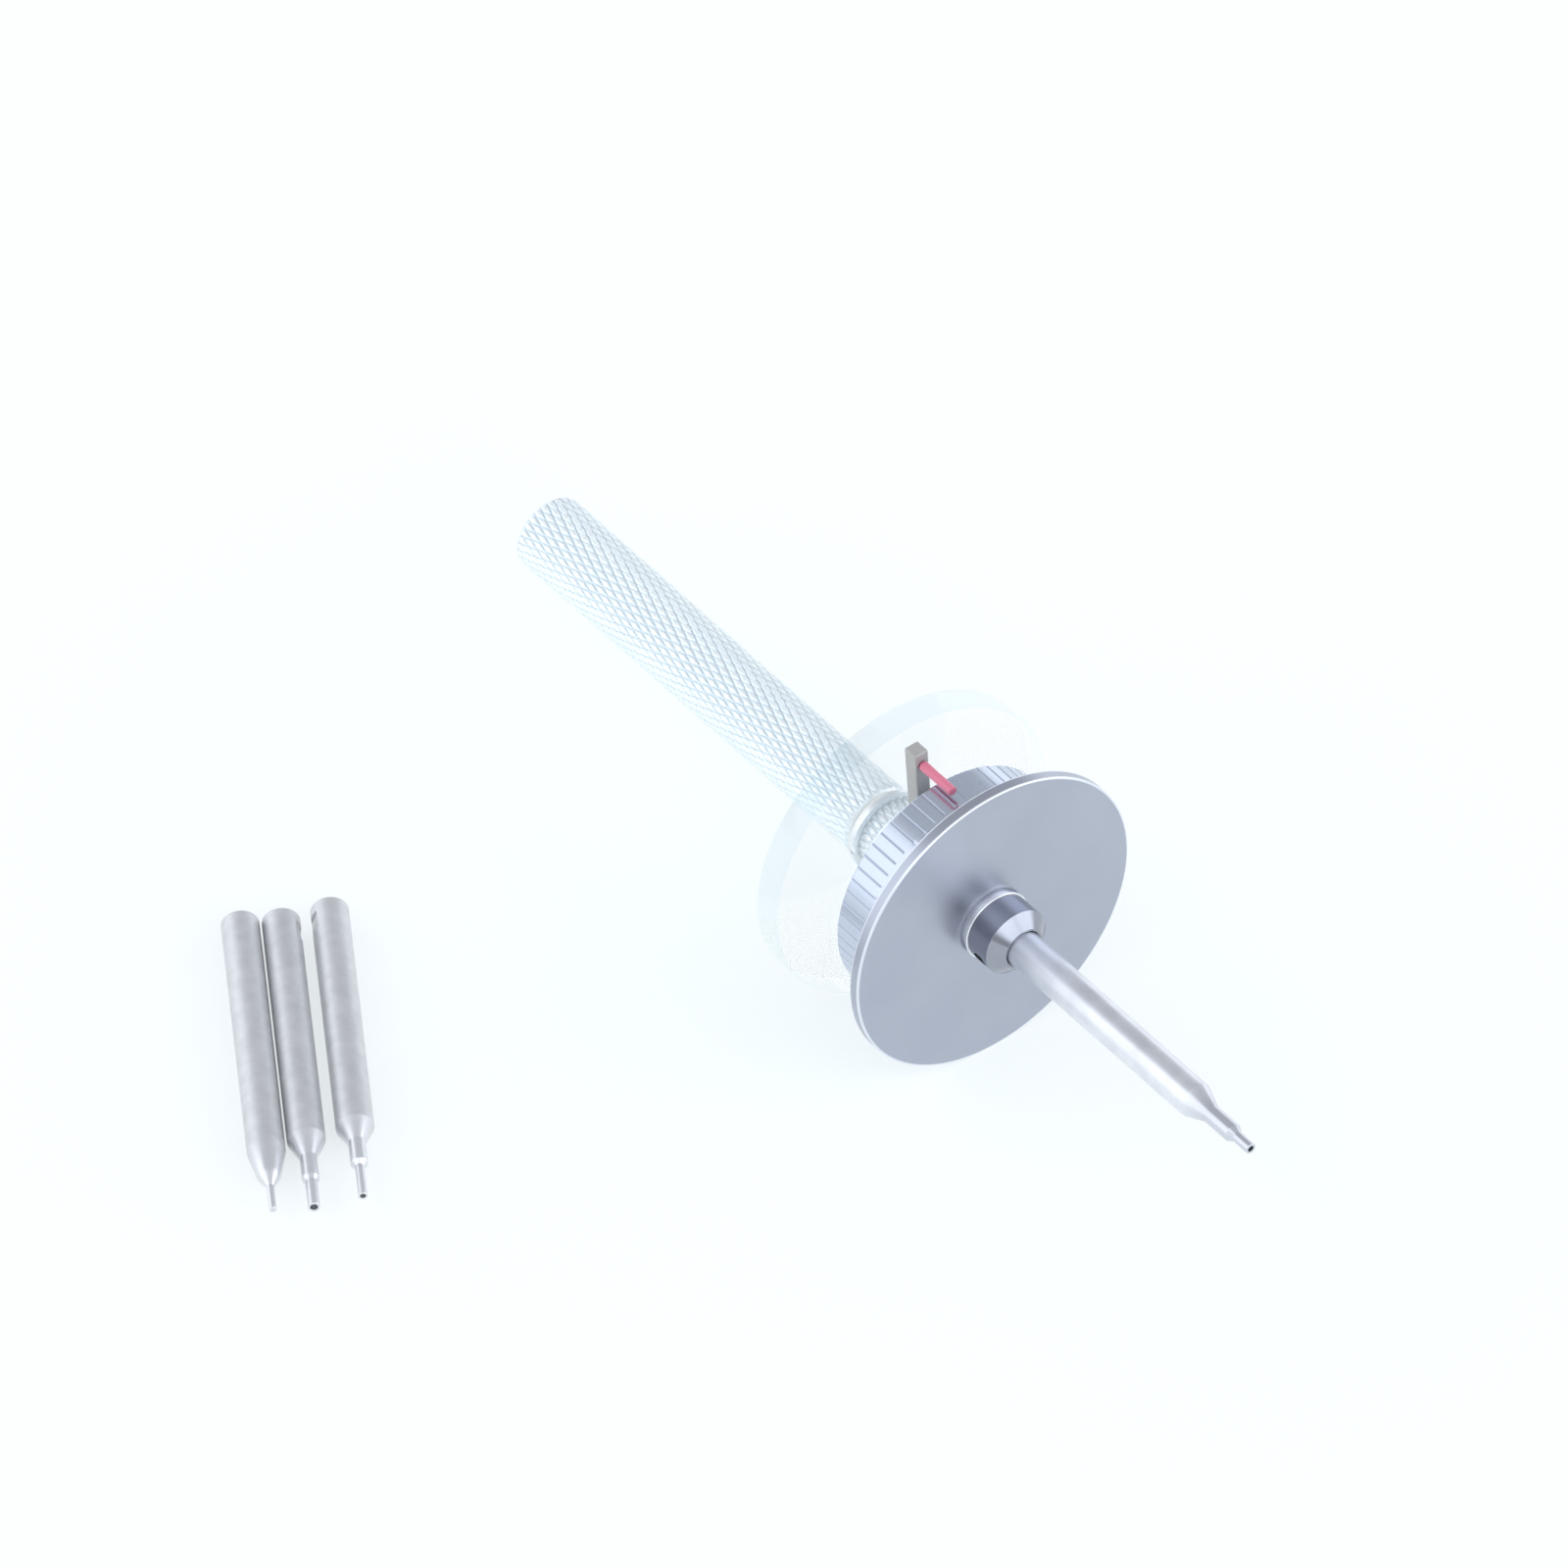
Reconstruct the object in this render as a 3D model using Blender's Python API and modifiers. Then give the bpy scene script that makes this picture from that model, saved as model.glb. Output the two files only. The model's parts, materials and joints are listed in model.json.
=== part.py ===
"""Graduated pin vise with a pointer disc, lying on a table beside its three spare bits.

The knurled handle, spindle, drum, flange and nose turn together with the bit. The clear finger disc runs on the
spindle on its own bush and carries the pointer that the drum's lines are read against.

Units are metres. Stations along the tool are measured from the front face of the flange, positive towards the tip
of the bit. The finished model lies along +X with the middle of its footprint at the world origin.
"""

import math

import bmesh
import bpy
from mathutils import Matrix, Vector

# Clearances
TOUCH_GAP = 0.0003  # between two pieces that are pressed, screwed or seated together
SIGHT_GAP = 0.00015  # the same where the seam shows
RUNNING_CLEARANCE = 0.00005  # radial, where one piece turns or slides in another

# Knurled handle
HANDLE_DIAMETER = 0.0085
HANDLE_LENGTH = 0.0558
HANDLE_CHAMFER = 0.0005
HANDLE_BORE_DEPTH = 0.0120

# Front flange
FLANGE_DIAMETER = 0.0351
FLANGE_THICKNESS = 0.00135
FLANGE_CHAMFER = 0.00015

# Graduated drum
DRUM_DIAMETER = 0.0274
DRUM_LENGTH = 0.0067
DRUM_CHAMFER = 0.0002
DRUM_RECESS_DEPTH = 0.0008
DIVISIONS = 60
PLAIN_BAND = 0.0028  # front part of the drum that the engraved lines leave free
LINE_WIDTH = 0.00024
LINE_DEPTH = 0.00015

# Clear finger disc
DISC_DIAMETER = 0.0351
DISC_THICKNESS = 0.0033
DISC_CHAMFER = 0.0003
DISC_TO_DRUM = 0.0052

# Bearing bush of the finger disc, and its ring nut
BUSH_WALL = 0.00085
BOSS_DIAMETER = 0.0140
BOSS_TO_DRUM = 0.0013
BOSS_CHAMFER = 0.0003
NUT_THICKNESS = 0.0006
NUT_RIM = 0.0006
NUT_NOTCH_WIDTH = 0.0012
NUT_NOTCH_DEPTH = 0.0003

# Spindle
JOURNAL_DIAMETER = 0.0060
SPINDLE_TAIL_DIAMETER = 0.0040
SPINDLE_HEAD_DIAMETER = 0.0050
SPINDLE_CHAMFER = 0.0003

# Washers on the spindle
THRUST_WASHER_THICKNESS = 0.0004
FRONT_WASHER_DIAMETER = 0.0116
REAR_WASHER_DIAMETER = 0.0084
WAVE_WASHER_DIAMETER = 0.0112
WAVE_WASHER_SHEET = 0.0002
WAVES = 3

# Pointer
POINTER_LEAN = math.radians(3.7)
POST_THICKNESS = 0.0018
POST_WIDTH = 0.0017
POST_ABOVE_ARM = 0.0016  # from the middle of the arm to the top of the post
POST_EDGE = 0.00015
POST_SPIGOT_DIAMETER = 0.0014
POST_SPIGOT_LENGTH = 0.0024
ARM_DIAMETER = 0.0011
ARM_OVER_DRUM = 0.00055
ARM_REACH = 0.0029  # how far the arm covers the drum
ARM_SPIGOT_DIAMETER = 0.0006
ARM_SPIGOT_LENGTH = 0.0012
ARM_CHAMFER = 0.00012

# Nose that holds the bit
NOSE_DIAMETER = 0.0077
NOSE_LENGTH = 0.00285
NOSE_CHAMFER = 0.0013
NOSE_COUNTERSINK = 0.00015
NOSE_LIP = 0.0002  # flat ring left between the countersink and the chamfer
NOSE_STEM_WALL = 0.00115  # round the bit's bore
NOSE_STEM_LENGTH = 0.00515
NOSE_WASHER_THICKNESS = 0.0006
NOSE_WASHER_DIAMETER = 0.0080

# Set screws
LOCK_SCREW_DIAMETER = 0.0016
LOCK_SCREW_AZIMUTH = math.radians(112.0)
NOSE_SCREW_DIAMETER = 0.0016
NOSE_SCREW_LENGTH = 0.0050
NOSE_SCREW_AZIMUTHS = (math.radians(-90.0), math.radians(-180.0))
HEXAGON = 6
SOCKET_SHARE = 0.56  # hexagon socket across its corners, as a share of the screw's diameter
SOCKET_DEPTH = 0.0008
SCREW_CHAMFER = 0.00015

# Bits
SHANK_DIAMETER = 0.0040
BIT_LENGTH = 0.0427
BIT_CHAMFER = 0.00035
BIT_DEPTH = 0.0054  # how far the bit sits inside the nose
BIT_SPACING = 0.0002  # between two spare bits that lie side by side
BIT_SPREAD = 0.0011  # further out for the one that lies a little apart
BIT_STAGGER = 0.0012  # how far that one is drawn back
FLAT_FROM_BUTT = 0.0027
FLAT_LENGTH = 0.0022
FLAT_DEPTH = 0.00025

# Spare bits on the table: place of the middle one's butt against the flange, and their shared heading
SPARES_BACK = 0.05805
SPARES_ASIDE = 0.0473
SPARES_HEADING = math.radians(-32.8)

# Facets
LARGE_STEPS = 96
MEDIUM_STEPS = 48
SMALL_STEPS = 32
TINY_STEPS = 20
MERGE = 0.000001
OVERCUT = 0.0005  # how far a cutter runs past the face that it opens
SHARP_EDGE = math.radians(30)

# Diameters that follow from the bit's shank
BIT_BORE_DIAMETER = SHANK_DIAMETER + 2 * RUNNING_CLEARANCE
NOSE_STEM_DIAMETER = BIT_BORE_DIAMETER + 2 * NOSE_STEM_WALL
NOSE_MOUTH_DIAMETER = BIT_BORE_DIAMETER + 2 * (NOSE_COUNTERSINK + NOSE_LIP)

# Diameters that follow from the spindle's journal
BUSH_BORE_DIAMETER = JOURNAL_DIAMETER + 2 * RUNNING_CLEARANCE
BUSH_SLEEVE_DIAMETER = BUSH_BORE_DIAMETER + 2 * BUSH_WALL

# Stations along the tool, from front to back
FLANGE_BACK = -FLANGE_THICKNESS
DRUM_FRONT = FLANGE_BACK - TOUCH_GAP
DRUM_BACK = DRUM_FRONT - DRUM_LENGTH
RECESS_FLOOR = DRUM_BACK + DRUM_RECESS_DEPTH
FRONT_WASHER_FRONT = RECESS_FLOOR - TOUCH_GAP
FRONT_WASHER_BACK = FRONT_WASHER_FRONT - THRUST_WASHER_THICKNESS
DISC_FRONT = DRUM_BACK - DISC_TO_DRUM
DISC_BACK = DISC_FRONT - DISC_THICKNESS
BOSS_BACK = DISC_FRONT + TOUCH_GAP
BOSS_FRONT = DRUM_BACK - BOSS_TO_DRUM
BOSS_MIDDLE = (BOSS_FRONT + BOSS_BACK) / 2
NUT_FRONT = DISC_BACK - TOUCH_GAP
NUT_BACK = NUT_FRONT - NUT_THICKNESS
REAR_WASHER_FRONT = NUT_BACK - TOUCH_GAP
REAR_WASHER_BACK = REAR_WASHER_FRONT - THRUST_WASHER_THICKNESS
HANDLE_FRONT = REAR_WASHER_BACK - TOUCH_GAP
HANDLE_BACK = HANDLE_FRONT - HANDLE_LENGTH
NOSE_WASHER_BACK = SIGHT_GAP
NOSE_WASHER_FRONT = NOSE_WASHER_BACK + NOSE_WASHER_THICKNESS
NOSE_SHOULDER = NOSE_WASHER_FRONT + SIGHT_GAP
NOSE_EDGE = NOSE_SHOULDER + NOSE_LENGTH
NOSE_FRONT = NOSE_EDGE + NOSE_CHAMFER
STEM_BACK = NOSE_SHOULDER - NOSE_STEM_LENGTH
DRUM_STEP = STEM_BACK - TOUCH_GAP
BIT_BUTT = NOSE_FRONT - BIT_DEPTH
BIT_TIP = BIT_BUTT + BIT_LENGTH
NOSE_SCREW_STATION = DRUM_FRONT - PLAIN_BAND / 2
LOCK_SCREW_STATION = BIT_BUTT + FLAT_FROM_BUTT

# Heights above the tool's axis
ARM_RADIUS = (DRUM_DIAMETER + ARM_DIAMETER) / 2 + ARM_OVER_DRUM
POST_TOP_RADIUS = ARM_RADIUS + POST_ABOVE_ARM
AXIS_HEIGHT = max(FLANGE_DIAMETER, DISC_DIAMETER) / 2


class TipShape:
    """The turned front end of a bit: a cone, a neck, a taper and a round tip that may be hollow."""

    def __init__(self, cone, neck_diameter, neck, taper, tip_diameter, tip, hollow_diameter):
        self.cone = cone
        self.neck_radius = neck_diameter / 2
        self.neck = neck
        self.taper = taper
        self.tip_radius = tip_diameter / 2
        self.tip = tip
        self.hollow_radius = hollow_diameter / 2

    def shank_length(self):
        """From the butt to the foot of the cone."""
        return BIT_LENGTH - self.cone - self.neck - self.taper - self.tip

    def profile(self):
        """Outline from the tip's end round to the butt, as (station from the butt, radius)."""
        end = BIT_LENGTH
        points = [(end, 0.0)]
        if self.hollow_radius:
            points = [(end - 2 * self.tip_radius, 0.0)]
            points.append((end - 2 * self.tip_radius, self.hollow_radius))
            points.append((end, self.hollow_radius))
        points.append((end, self.tip_radius))
        points.append((end - self.tip, self.tip_radius))
        points.append((end - self.tip - self.taper, self.neck_radius))
        if self.neck:
            points.append((end - self.tip - self.taper - self.neck, self.neck_radius))
        points.append((self.shank_length(), SHANK_DIAMETER / 2))
        points.append((BIT_CHAMFER, SHANK_DIAMETER / 2))
        points.append((0.0, SHANK_DIAMETER / 2 - BIT_CHAMFER))
        points.append((0.0, 0.0))
        return points


KEY_TIP = TipShape(0.0026, 0.00204, 0.0035, 0.0008, 0.0012, 0.0022, 0.0007)
PIN_TIP = TipShape(0.0036, 0.0025, 0.0, 0.0015, 0.0008, 0.0034, 0.0)
WIDE_TIP = TipShape(0.0026, 0.00184, 0.0030, 0.0005, 0.0013, 0.0037, 0.0008)
NARROW_TIP = TipShape(0.0023, 0.00184, 0.0030, 0.0005, 0.0010, 0.0043, 0.0006)

# Spare bits: name, tip, place across the row and along it from the middle one, and where its flat points
SPARE_BITS = (
    ("spare_bit_pin", PIN_TIP, -SHANK_DIAMETER - BIT_SPACING, 0.0, math.radians(180.0)),
    ("spare_bit_wide", WIDE_TIP, 0.0, 0.0, math.radians(-75.0)),
    ("spare_bit_narrow", NARROW_TIP, SHANK_DIAMETER + BIT_SPREAD, -BIT_STAGGER, math.radians(75.0)),
)

STEEL = ("satin_steel", (0.60, 0.61, 0.63), 0.30, 1.0)
DARK_STEEL = ("polished_steel", (0.38, 0.39, 0.42), 0.15, 1.0)
ALUMINIUM = ("knurled_aluminium", (0.88, 0.89, 0.91), 0.35, 1.0)
NICKEL = ("nickel_plated_brass", (0.74, 0.72, 0.68), 0.25, 1.0)
PLASTIC = ("white_ptfe", (0.90, 0.90, 0.88), 0.50, 0.0)
CLEAR = ("clear_acrylic", (0.86, 0.94, 0.97), 0.05, 0.0)
RED = ("red_paint", (0.72, 0.10, 0.14), 0.40, 0.0)
BLACK = ("blackened_steel", (0.08, 0.08, 0.09), 0.45, 1.0)


def clear_scene():
    for thing in list(bpy.data.objects):
        bpy.data.objects.remove(thing, do_unlink=True)


def new_collection(name):
    collection = bpy.data.collections.new(name)
    bpy.context.scene.collection.children.link(collection)
    return collection


def material(finish):
    name, colour, roughness, metallic = finish
    found = bpy.data.materials.get(name)
    if found:
        return found
    made = bpy.data.materials.new(name)
    made.use_nodes = True
    shader = made.node_tree.nodes["Principled BSDF"]
    shader.inputs["Base Color"].default_value = (*colour, 1.0)
    shader.inputs["Roughness"].default_value = roughness
    shader.inputs["Metallic"].default_value = metallic
    made.diffuse_color = (*colour, 1.0)
    return made


def empty(name, parent=None, location=(0, 0, 0), rotation=(0, 0, 0)):
    holder = bpy.data.objects.new(name, None)
    holder.empty_display_size = 0.005
    holder.location = location
    holder.rotation_euler = rotation
    holder.parent = parent
    PARTS.objects.link(holder)
    return holder


def add_part(name, mesh, finish, parent, location=(0, 0, 0), rotation=(0, 0, 0)):
    part = bpy.data.objects.new(name, mesh)
    part.data.materials.append(material(finish))
    part.location = location
    part.rotation_euler = rotation
    part.parent = parent
    PARTS.objects.link(part)
    return part


def profile_mesh(name, points, closed):
    """A wire outline in the XY plane, radius along +Y, that a Screw turns about X."""
    mesh = bpy.data.meshes.new(name)
    edges = [(i, i + 1) for i in range(len(points) - 1)]
    if closed:
        edges.append((len(points) - 1, 0))
    mesh.from_pydata([(station, radius, 0.0) for station, radius in points], edges, [])
    return mesh


def add_screw(part, steps):
    screw = part.modifiers.new("turn", "SCREW")
    screw.axis = "X"
    screw.angle = math.tau
    screw.steps = steps
    screw.render_steps = steps
    screw.use_merge_vertices = True
    screw.merge_threshold = MERGE
    screw.use_smooth_shade = True
    return screw


def turned(name, points, steps, finish, parent, location=(0, 0, 0), rotation=(0, 0, 0)):
    """A solid turned about the tool's axis. The outline runs from the front end along the outside to the back;
    one that starts and ends off the axis is closed into a ring."""
    closed = points[0][1] > 0 and points[-1][1] > 0
    part = add_part(name, profile_mesh(name, points, closed), finish, parent, location, rotation)
    add_screw(part, steps)
    return part


def ring_outline(front, back, outer, inner, edge=0.0):
    """Outline of a plain ring, with its two outer corners chamfered by edge."""
    if not edge:
        return [(front, outer), (back, outer), (back, inner), (front, inner)]
    return [
        (front, outer - edge),
        (front - edge, outer),
        (back + edge, outer),
        (back, outer - edge),
        (back, inner),
        (front, inner),
    ]


def cutter(name, mesh, parent, location=(0, 0, 0), rotation=(0, 0, 0)):
    tool = bpy.data.objects.new(name, mesh)
    tool.location = location
    tool.rotation_euler = rotation
    tool.parent = parent
    tool.hide_render = True
    tool.display_type = "WIRE"
    CUTTERS.objects.link(tool)
    return tool


def cut(part, tool):
    boolean = part.modifiers.new(tool.name, "BOOLEAN")
    boolean.operation = "DIFFERENCE"
    boolean.solver = "EXACT"
    boolean.object = tool


def mesh_from(name, build):
    """A mesh that the function build fills through bmesh."""
    mesh = bpy.data.meshes.new(name)
    shape = bmesh.new()
    build(shape)
    shape.to_mesh(mesh)
    shape.free()
    return mesh


def box_mesh(name, size, centre=(0, 0, 0)):
    place = Matrix.Translation(centre) @ Matrix.Diagonal((*size, 1.0))
    return mesh_from(name, lambda shape: bmesh.ops.create_cube(shape, size=1.0, matrix=place))


def add_cylinder(shape, radius, low, high, segments):
    """A closed cylinder about Z between two heights."""
    place = Matrix.Translation((0, 0, (low + high) / 2))
    bmesh.ops.create_cone(
        shape,
        cap_ends=True,
        segments=segments,
        radius1=radius,
        radius2=radius,
        depth=high - low,
        matrix=place,
    )


def cylinder_mesh(name, radius, low, high, segments):
    return mesh_from(name, lambda shape: add_cylinder(shape, radius, low, high, segments))


def smooth(part):
    part.data.shade_smooth()
    part.data.set_sharp_from_angle(angle=SHARP_EDGE)


def baked(part):
    """Turns the part's modifiers into its own mesh."""
    graph = bpy.context.evaluated_depsgraph_get()
    finished = bpy.data.meshes.new_from_object(part.evaluated_get(graph))
    part.modifiers.clear()
    part.data = finished


def set_screw(name, diameter, tip_radius, head_radius, station, azimuth, parent):
    """A grub screw standing radially, from its tip near the axis to its socket end, with its origin on its own
    axis. Azimuth 0 is straight up, and it grows from +Z towards -Y."""
    radius = diameter / 2
    mesh = cylinder_mesh(name, radius, tip_radius, head_radius, SMALL_STEPS)
    screw = add_part(name, mesh, BLACK, parent, (station, 0, 0), (azimuth, 0, 0))
    edge = screw.modifiers.new("chamfer", "BEVEL")
    edge.width = SCREW_CHAMFER
    edge.segments = 1
    edge.limit_method = "ANGLE"
    socket = cylinder_mesh(
        name + "_socket", SOCKET_SHARE * radius, head_radius - SOCKET_DEPTH, head_radius + OVERCUT, HEXAGON
    )
    cut(screw, cutter(name + "_socket", socket, parent, (station, 0, 0), (azimuth, 0, 0)))
    return screw


def radial_hole(part, name, radius, inner, outer, station, azimuth, parent):
    """Drills a round hole straight out from the axis."""
    drill = cylinder_mesh(name, radius, inner, outer, SMALL_STEPS)
    cut(part, cutter(name, drill, parent, (station, 0, 0), (azimuth, 0, 0)))


def build_handle(tool):
    bore_radius = SPINDLE_TAIL_DIAMETER / 2 + TOUCH_GAP
    radius = HANDLE_DIAMETER / 2
    outline = [
        (HANDLE_FRONT - HANDLE_BORE_DEPTH, 0.0),
        (HANDLE_FRONT - HANDLE_BORE_DEPTH, bore_radius),
        (HANDLE_FRONT, bore_radius),
        (HANDLE_FRONT, radius - HANDLE_CHAMFER),
        (HANDLE_FRONT - HANDLE_CHAMFER, radius),
        (HANDLE_BACK + HANDLE_CHAMFER, radius),
        (HANDLE_BACK, radius - HANDLE_CHAMFER),
        (HANDLE_BACK, 0.0),
    ]
    turned("handle", outline, MEDIUM_STEPS, ALUMINIUM, tool)


def build_spindle(tool):
    head = SPINDLE_HEAD_DIAMETER / 2
    journal = JOURNAL_DIAMETER / 2
    tail = SPINDLE_TAIL_DIAMETER / 2
    head_front = DRUM_STEP - TOUCH_GAP
    journal_back = HANDLE_FRONT + TOUCH_GAP
    tail_back = HANDLE_FRONT - HANDLE_BORE_DEPTH + TOUCH_GAP
    outline = [
        (head_front, 0.0),
        (head_front, head - SPINDLE_CHAMFER),
        (head_front - SPINDLE_CHAMFER, head),
        (FRONT_WASHER_FRONT, head),
        (FRONT_WASHER_FRONT, journal),
        (journal_back, journal),
        (journal_back, tail),
        (tail_back + SPINDLE_CHAMFER, tail),
        (tail_back, tail - SPINDLE_CHAMFER),
        (tail_back, 0.0),
    ]
    turned("spindle", outline, MEDIUM_STEPS, STEEL, tool)


def build_drum(tool):
    """The drum: a stepped bore for the nose's stem and the spindle, a recess at the back, and engraved lines."""
    radius = DRUM_DIAMETER / 2
    stem_bore = NOSE_STEM_DIAMETER / 2 + TOUCH_GAP
    head_bore = SPINDLE_HEAD_DIAMETER / 2 + TOUCH_GAP
    recess = FRONT_WASHER_DIAMETER / 2 + TOUCH_GAP
    outline = [
        (DRUM_FRONT, radius),
        (DRUM_BACK + DRUM_CHAMFER, radius),
        (DRUM_BACK, radius - DRUM_CHAMFER),
        (DRUM_BACK, recess),
        (RECESS_FLOOR, recess),
        (RECESS_FLOOR, head_bore),
        (DRUM_STEP, head_bore),
        (DRUM_STEP, stem_bore),
        (DRUM_FRONT, stem_bore),
    ]
    drum = turned("graduated_drum", outline, 2 * DIVISIONS, STEEL, tool)
    cut(drum, cutter("graduation_lines", graduation_mesh(), tool))
    for number, azimuth in enumerate(NOSE_SCREW_AZIMUTHS, start=1):
        radial_hole(
            drum,
            f"nose_screw_hole_{number}",
            NOSE_SCREW_DIAMETER / 2 + TOUCH_GAP,
            stem_bore - OVERCUT,
            radius + OVERCUT,
            NOSE_SCREW_STATION,
            azimuth,
            tool,
        )


def graduation_mesh():
    """One thin box for each line, set round the drum at equal angles, each opening the drum's back edge."""
    radius = DRUM_DIAMETER / 2
    length = DRUM_LENGTH - PLAIN_BAND + OVERCUT
    height = LINE_DEPTH + OVERCUT
    middle = (DRUM_BACK - OVERCUT + length / 2, 0, radius - LINE_DEPTH + height / 2)
    box = Matrix.Translation(middle) @ Matrix.Diagonal((length, LINE_WIDTH, height, 1.0))

    def build(shape):
        for number in range(DIVISIONS):
            turn = Matrix.Rotation(math.tau * number / DIVISIONS, 4, "X")
            bmesh.ops.create_cube(shape, size=1.0, matrix=turn @ box)

    return mesh_from("graduation_lines", build)


def build_flange(tool):
    radius = FLANGE_DIAMETER / 2
    bore = NOSE_STEM_DIAMETER / 2 + TOUCH_GAP
    outline = [
        (0.0, radius - FLANGE_CHAMFER),
        (-FLANGE_CHAMFER, radius),
        (FLANGE_BACK, radius),
        (FLANGE_BACK, bore),
        (0.0, bore),
    ]
    turned("front_flange", outline, LARGE_STEPS, STEEL, tool)


def build_nose(tool):
    radius = NOSE_DIAMETER / 2
    stem = NOSE_STEM_DIAMETER / 2
    bore = BIT_BORE_DIAMETER / 2
    mouth = NOSE_MOUTH_DIAMETER / 2
    floor = BIT_BUTT - TOUCH_GAP
    outline = [
        (floor, 0.0),
        (floor, bore),
        (NOSE_FRONT - NOSE_COUNTERSINK, bore),
        (NOSE_FRONT, bore + NOSE_COUNTERSINK),
        (NOSE_FRONT, mouth),
        (NOSE_EDGE, radius),
        (NOSE_SHOULDER, radius),
        (NOSE_SHOULDER, stem),
        (STEM_BACK + SPINDLE_CHAMFER, stem),
        (STEM_BACK, stem - SPINDLE_CHAMFER),
        (STEM_BACK, 0.0),
    ]
    nose = turned("nose", outline, MEDIUM_STEPS, DARK_STEEL, tool)
    washer = ring_outline(NOSE_WASHER_FRONT, NOSE_WASHER_BACK, NOSE_WASHER_DIAMETER / 2, stem + TOUCH_GAP)
    turned("nose_washer", washer, MEDIUM_STEPS, STEEL, tool)
    radial_hole(
        nose,
        "lock_screw_hole",
        LOCK_SCREW_DIAMETER / 2 + RUNNING_CLEARANCE,
        bore - OVERCUT,
        radius + OVERCUT,
        LOCK_SCREW_STATION,
        LOCK_SCREW_AZIMUTH,
        tool,
    )


def build_set_screws(tool):
    set_screw(
        "bit_lock_screw",
        LOCK_SCREW_DIAMETER,
        BIT_BORE_DIAMETER / 2,
        NOSE_DIAMETER / 2 - SIGHT_GAP,
        LOCK_SCREW_STATION,
        LOCK_SCREW_AZIMUTH,
        tool,
    )
    tip = NOSE_STEM_DIAMETER / 2 + TOUCH_GAP
    for number, azimuth in enumerate(NOSE_SCREW_AZIMUTHS, start=1):
        set_screw(
            f"nose_set_screw_{number}",
            NOSE_SCREW_DIAMETER,
            tip,
            tip + NOSE_SCREW_LENGTH,
            NOSE_SCREW_STATION,
            azimuth,
            tool,
        )


def build_thrust_washers(tool):
    bore = JOURNAL_DIAMETER / 2 + TOUCH_GAP
    front = ring_outline(FRONT_WASHER_FRONT, FRONT_WASHER_BACK, FRONT_WASHER_DIAMETER / 2, bore)
    rear = ring_outline(REAR_WASHER_FRONT, REAR_WASHER_BACK, REAR_WASHER_DIAMETER / 2, bore)
    turned("front_thrust_washer", front, MEDIUM_STEPS, PLASTIC, tool)
    turned("rear_thrust_washer", rear, MEDIUM_STEPS, PLASTIC, tool)


def build_disc(pointer):
    """The clear disc, its flanged bush and the ring nut that clamps it on the bush."""
    sleeve = BUSH_SLEEVE_DIAMETER / 2
    hole = sleeve + TOUCH_GAP
    journal = BUSH_BORE_DIAMETER / 2
    boss = BOSS_DIAMETER / 2
    disc = ring_outline(DISC_FRONT, DISC_BACK, DISC_DIAMETER / 2, hole, DISC_CHAMFER)
    turned("finger_disc", disc, LARGE_STEPS, CLEAR, pointer)
    bush_outline = [
        (BOSS_FRONT, boss - BOSS_CHAMFER),
        (BOSS_FRONT - BOSS_CHAMFER, boss),
        (BOSS_BACK, boss),
        (BOSS_BACK, sleeve),
        (NUT_BACK, sleeve),
        (NUT_BACK, journal),
        (BOSS_FRONT, journal),
    ]
    bush = turned("disc_bush", bush_outline, MEDIUM_STEPS, NICKEL, pointer)
    spigot_end = boss + TOUCH_GAP - POST_SPIGOT_LENGTH
    radial_hole(
        bush,
        "post_hole",
        POST_SPIGOT_DIAMETER / 2 + TOUCH_GAP,
        spigot_end - TOUCH_GAP,
        boss + OVERCUT,
        BOSS_MIDDLE,
        0.0,
        pointer,
    )
    nut_outline = ring_outline(NUT_FRONT, NUT_BACK, hole + NUT_RIM, hole)
    nut = turned("disc_ring_nut", nut_outline, MEDIUM_STEPS, STEEL, pointer)
    notch_size = (NUT_THICKNESS + 2 * OVERCUT, 3 * hole, NUT_NOTCH_WIDTH)
    for number, side in enumerate((-1, 1), start=1):
        middle = side * (hole + NUT_RIM - NUT_NOTCH_DEPTH + notch_size[1] / 2)
        notch = box_mesh(f"nut_notch_{number}", notch_size, ((NUT_FRONT + NUT_BACK) / 2, middle, 0))
        cut(nut, cutter(f"nut_notch_{number}", notch, pointer))


def build_wave_washer(pointer):
    """A flat ring bent into waves that just fill the space between the bush and the front washer."""
    low = BOSS_FRONT + TOUCH_GAP
    high = FRONT_WASHER_BACK - TOUCH_GAP
    middle = (low + high) / 2
    swing = (high - low - WAVE_WASHER_SHEET) / 2
    outline = ring_outline(
        middle + WAVE_WASHER_SHEET / 2,
        middle - WAVE_WASHER_SHEET / 2,
        WAVE_WASHER_DIAMETER / 2,
        JOURNAL_DIAMETER / 2 + TOUCH_GAP,
    )
    washer = turned("wave_washer", outline, MEDIUM_STEPS, STEEL, pointer)
    baked(washer)
    for vertex in washer.data.vertices:
        vertex.co.x += swing * math.cos(WAVES * math.atan2(vertex.co.z, vertex.co.y))


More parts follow.
